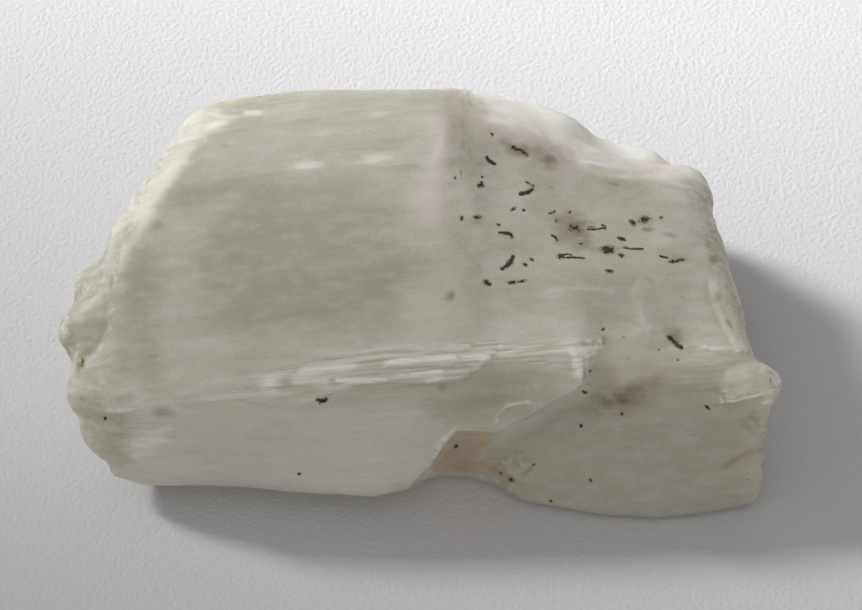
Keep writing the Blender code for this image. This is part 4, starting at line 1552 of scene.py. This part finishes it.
    def evened(self, piece: Piece, value: np.ndarray, passes: int) -> np.ndarray:
        """Spreads a number out over the skin, from each vertex to its neighbours.

        Args:
            piece: The piece.
            value: The number at each vertex.
            passes: How often it is spread.

        Returns:
            The evened numbers.
        """
        ends = np.empty(len(piece.data.edges) * 2, dtype=np.int32)
        piece.data.edges.foreach_get("vertices", ends)
        first, second = ends.reshape(-1, 2).T
        count = np.maximum(np.bincount(ends, minlength=len(value)), 1)
        for _ in range(passes):
            total = np.bincount(first, weights=value[second], minlength=len(value))
            total += np.bincount(second, weights=value[first], minlength=len(value))
            value = 0.5 * value + 0.5 * total / count
        return value

    def dress(self, piece: Piece) -> None:
        """Gives the piece its finish and its place in the frame.

        Args:
            piece: The piece.
        """
        piece.data.materials.clear()
        piece.data.materials.append(self.finish.material())
        select_only(piece)
        bpy.ops.object.shade_smooth_by_angle(angle=math.radians(self.sharp_deg))
        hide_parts(self.node)
        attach(piece, "root")
        LOG.info("kunzite: %d faces", len(piece.data.polygons))


class LampKind(Enum):
    """The two kinds of lamp on the stage."""

    SOFT_SQUARE = "AREA"
    POOL = "SPOT"


@dataclass(frozen=True)
class Lamp:
    """A lamp over the stage.

    Args:
        name: Its name.
        kind: Which kind of lamp it is.
        place: Where it hangs.
        target: Where it points.
        power: Its power in watts.
        size: Side of a square lamp, or radius of a pool lamp.
        colour: Colour of its light.
        spread_deg: Full angle of a pool lamp's cone.
    """

    name: str
    kind: LampKind
    place: Triple
    target: Triple
    power: float
    size: float
    colour: Triple = (1.0, 1.0, 1.0)
    spread_deg: float = 24.0

    def hang(self) -> None:
        """Hangs the lamp."""
        bpy.ops.object.light_add(type=self.kind.value, location=self.place)
        lamp = bpy.context.active_object
        lamp.name = self.name
        lamp.data.energy = self.power
        lamp.data.color = self.colour
        if self.kind is LampKind.POOL:
            lamp.data.spot_size = math.radians(self.spread_deg)
            lamp.data.spot_blend = 1.0
            lamp.data.shadow_soft_size = self.size
        else:
            lamp.data.size = self.size
        lamp.rotation_euler = towards(Vector(self.target) - Vector(self.place))


@dataclass(frozen=True)
class Room:
    """The even light of the room, which is brightest from one side.

    Args:
        bright: Colour on the bright side.
        dim: Colour on the far side.
        bright_way: Direction of the bright side.
        fade: Where the dim light ends and the bright one is full, from -1 behind to 1 straight at it.
        strength: Strength of the light.
    """

    bright: Triple = (0.96, 0.97, 1.0)
    dim: Triple = (0.36, 0.35, 0.34)
    bright_way: Triple = (-0.42, 0.62, 0.66)
    fade: tuple[float, float] = (-0.5, 1.0)
    strength: float = 0.465

    def light(self) -> None:
        """Lights the room."""
        world = bpy.data.worlds.new("room")
        world.use_nodes = True
        tree = world.node_tree
        background = tree.nodes["Background"]
        background.inputs["Strength"].default_value = self.strength
        place = tree.nodes.new("ShaderNodeTexCoord")
        aim = tree.nodes.new("ShaderNodeVectorMath")
        aim.operation = "DOT_PRODUCT"
        aim.inputs[1].default_value = Vector(self.bright_way).normalized()
        tree.links.new(place.outputs["Generated"], aim.inputs[0])
        fade = tree.nodes.new("ShaderNodeMapRange")
        fade.interpolation_type = "SMOOTHSTEP"
        fade.inputs["From Min"].default_value, fade.inputs["From Max"].default_value = self.fade
        tree.links.new(aim.outputs["Value"], fade.inputs["Value"])
        glow = tree.nodes.new("ShaderNodeMix")
        glow.data_type = "RGBA"
        glow.inputs[6].default_value = (*self.dim, 1.0)
        glow.inputs[7].default_value = (*self.bright, 1.0)
        tree.links.new(fade.outputs["Result"], glow.inputs[0])
        tree.links.new(glow.outputs[2], background.inputs["Color"])
        bpy.context.scene.world = world


@dataclass
class Stage:
    """The pale floor, the soft light and the camera."""

    floor_size: float = 1.2
    lens: float = 141.0
    sensor_width: float = 36.0
    view_from: float = 0.001
    view_to: float = 10.0
    plane: DrawingPlane = field(default_factory=DrawingPlane)
    finish: FloorFinish = field(default_factory=FloorFinish)
    room: Room = field(default_factory=Room)
    lamps: tuple[Lamp, ...] = (
        Lamp("pool", LampKind.POOL, (-0.17, 0.125, 0.14), (0.0, 0.056, 0.0), 11.8, 0.055, (0.97, 0.98, 1.0)),
        Lamp("front fill", LampKind.SOFT_SQUARE, (0.05, -0.30, 0.11), (0.0, 0.0, 0.005), 0.24, 0.3),
    )

    def build(self) -> None:
        """Sets the stage."""
        self.floor()
        for lamp in self.lamps:
            lamp.hang()
        self.room.light()
        self.camera()
        LOG.info("stage: floor, %d lamps, room and camera", len(self.lamps))

    def floor(self) -> None:
        """Lays the floor."""
        bpy.ops.object.select_all(action="DESELECT")
        bpy.ops.mesh.primitive_plane_add(size=self.floor_size, location=(0.0, 0.0, 0.0))
        floor = bpy.context.active_object
        floor.name = "floor"
        floor.data.materials.append(self.finish.material())

    def camera(self) -> None:
        """Sets the camera at the drawing plane's eye."""
        bpy.ops.object.camera_add(location=tuple(self.plane.eye() * MM))
        camera = bpy.context.active_object
        camera.name = "camera"
        camera.data.lens = self.lens
        camera.data.sensor_width = self.sensor_width
        camera.data.clip_start = self.view_from
        camera.data.clip_end = self.view_to
        camera.rotation_euler = towards(Vector(self.plane.axes()[2]))
        bpy.context.scene.camera = camera
        bpy.context.scene.view_settings.view_transform = "Standard"


def main() -> None:
    """Builds the crystal and its stage."""
    logging.basicConfig(level=logging.INFO, format="%(name)s: %(message)s")
    Crystal().build()
    Stage().build()


if __name__ == "__main__":
    main()
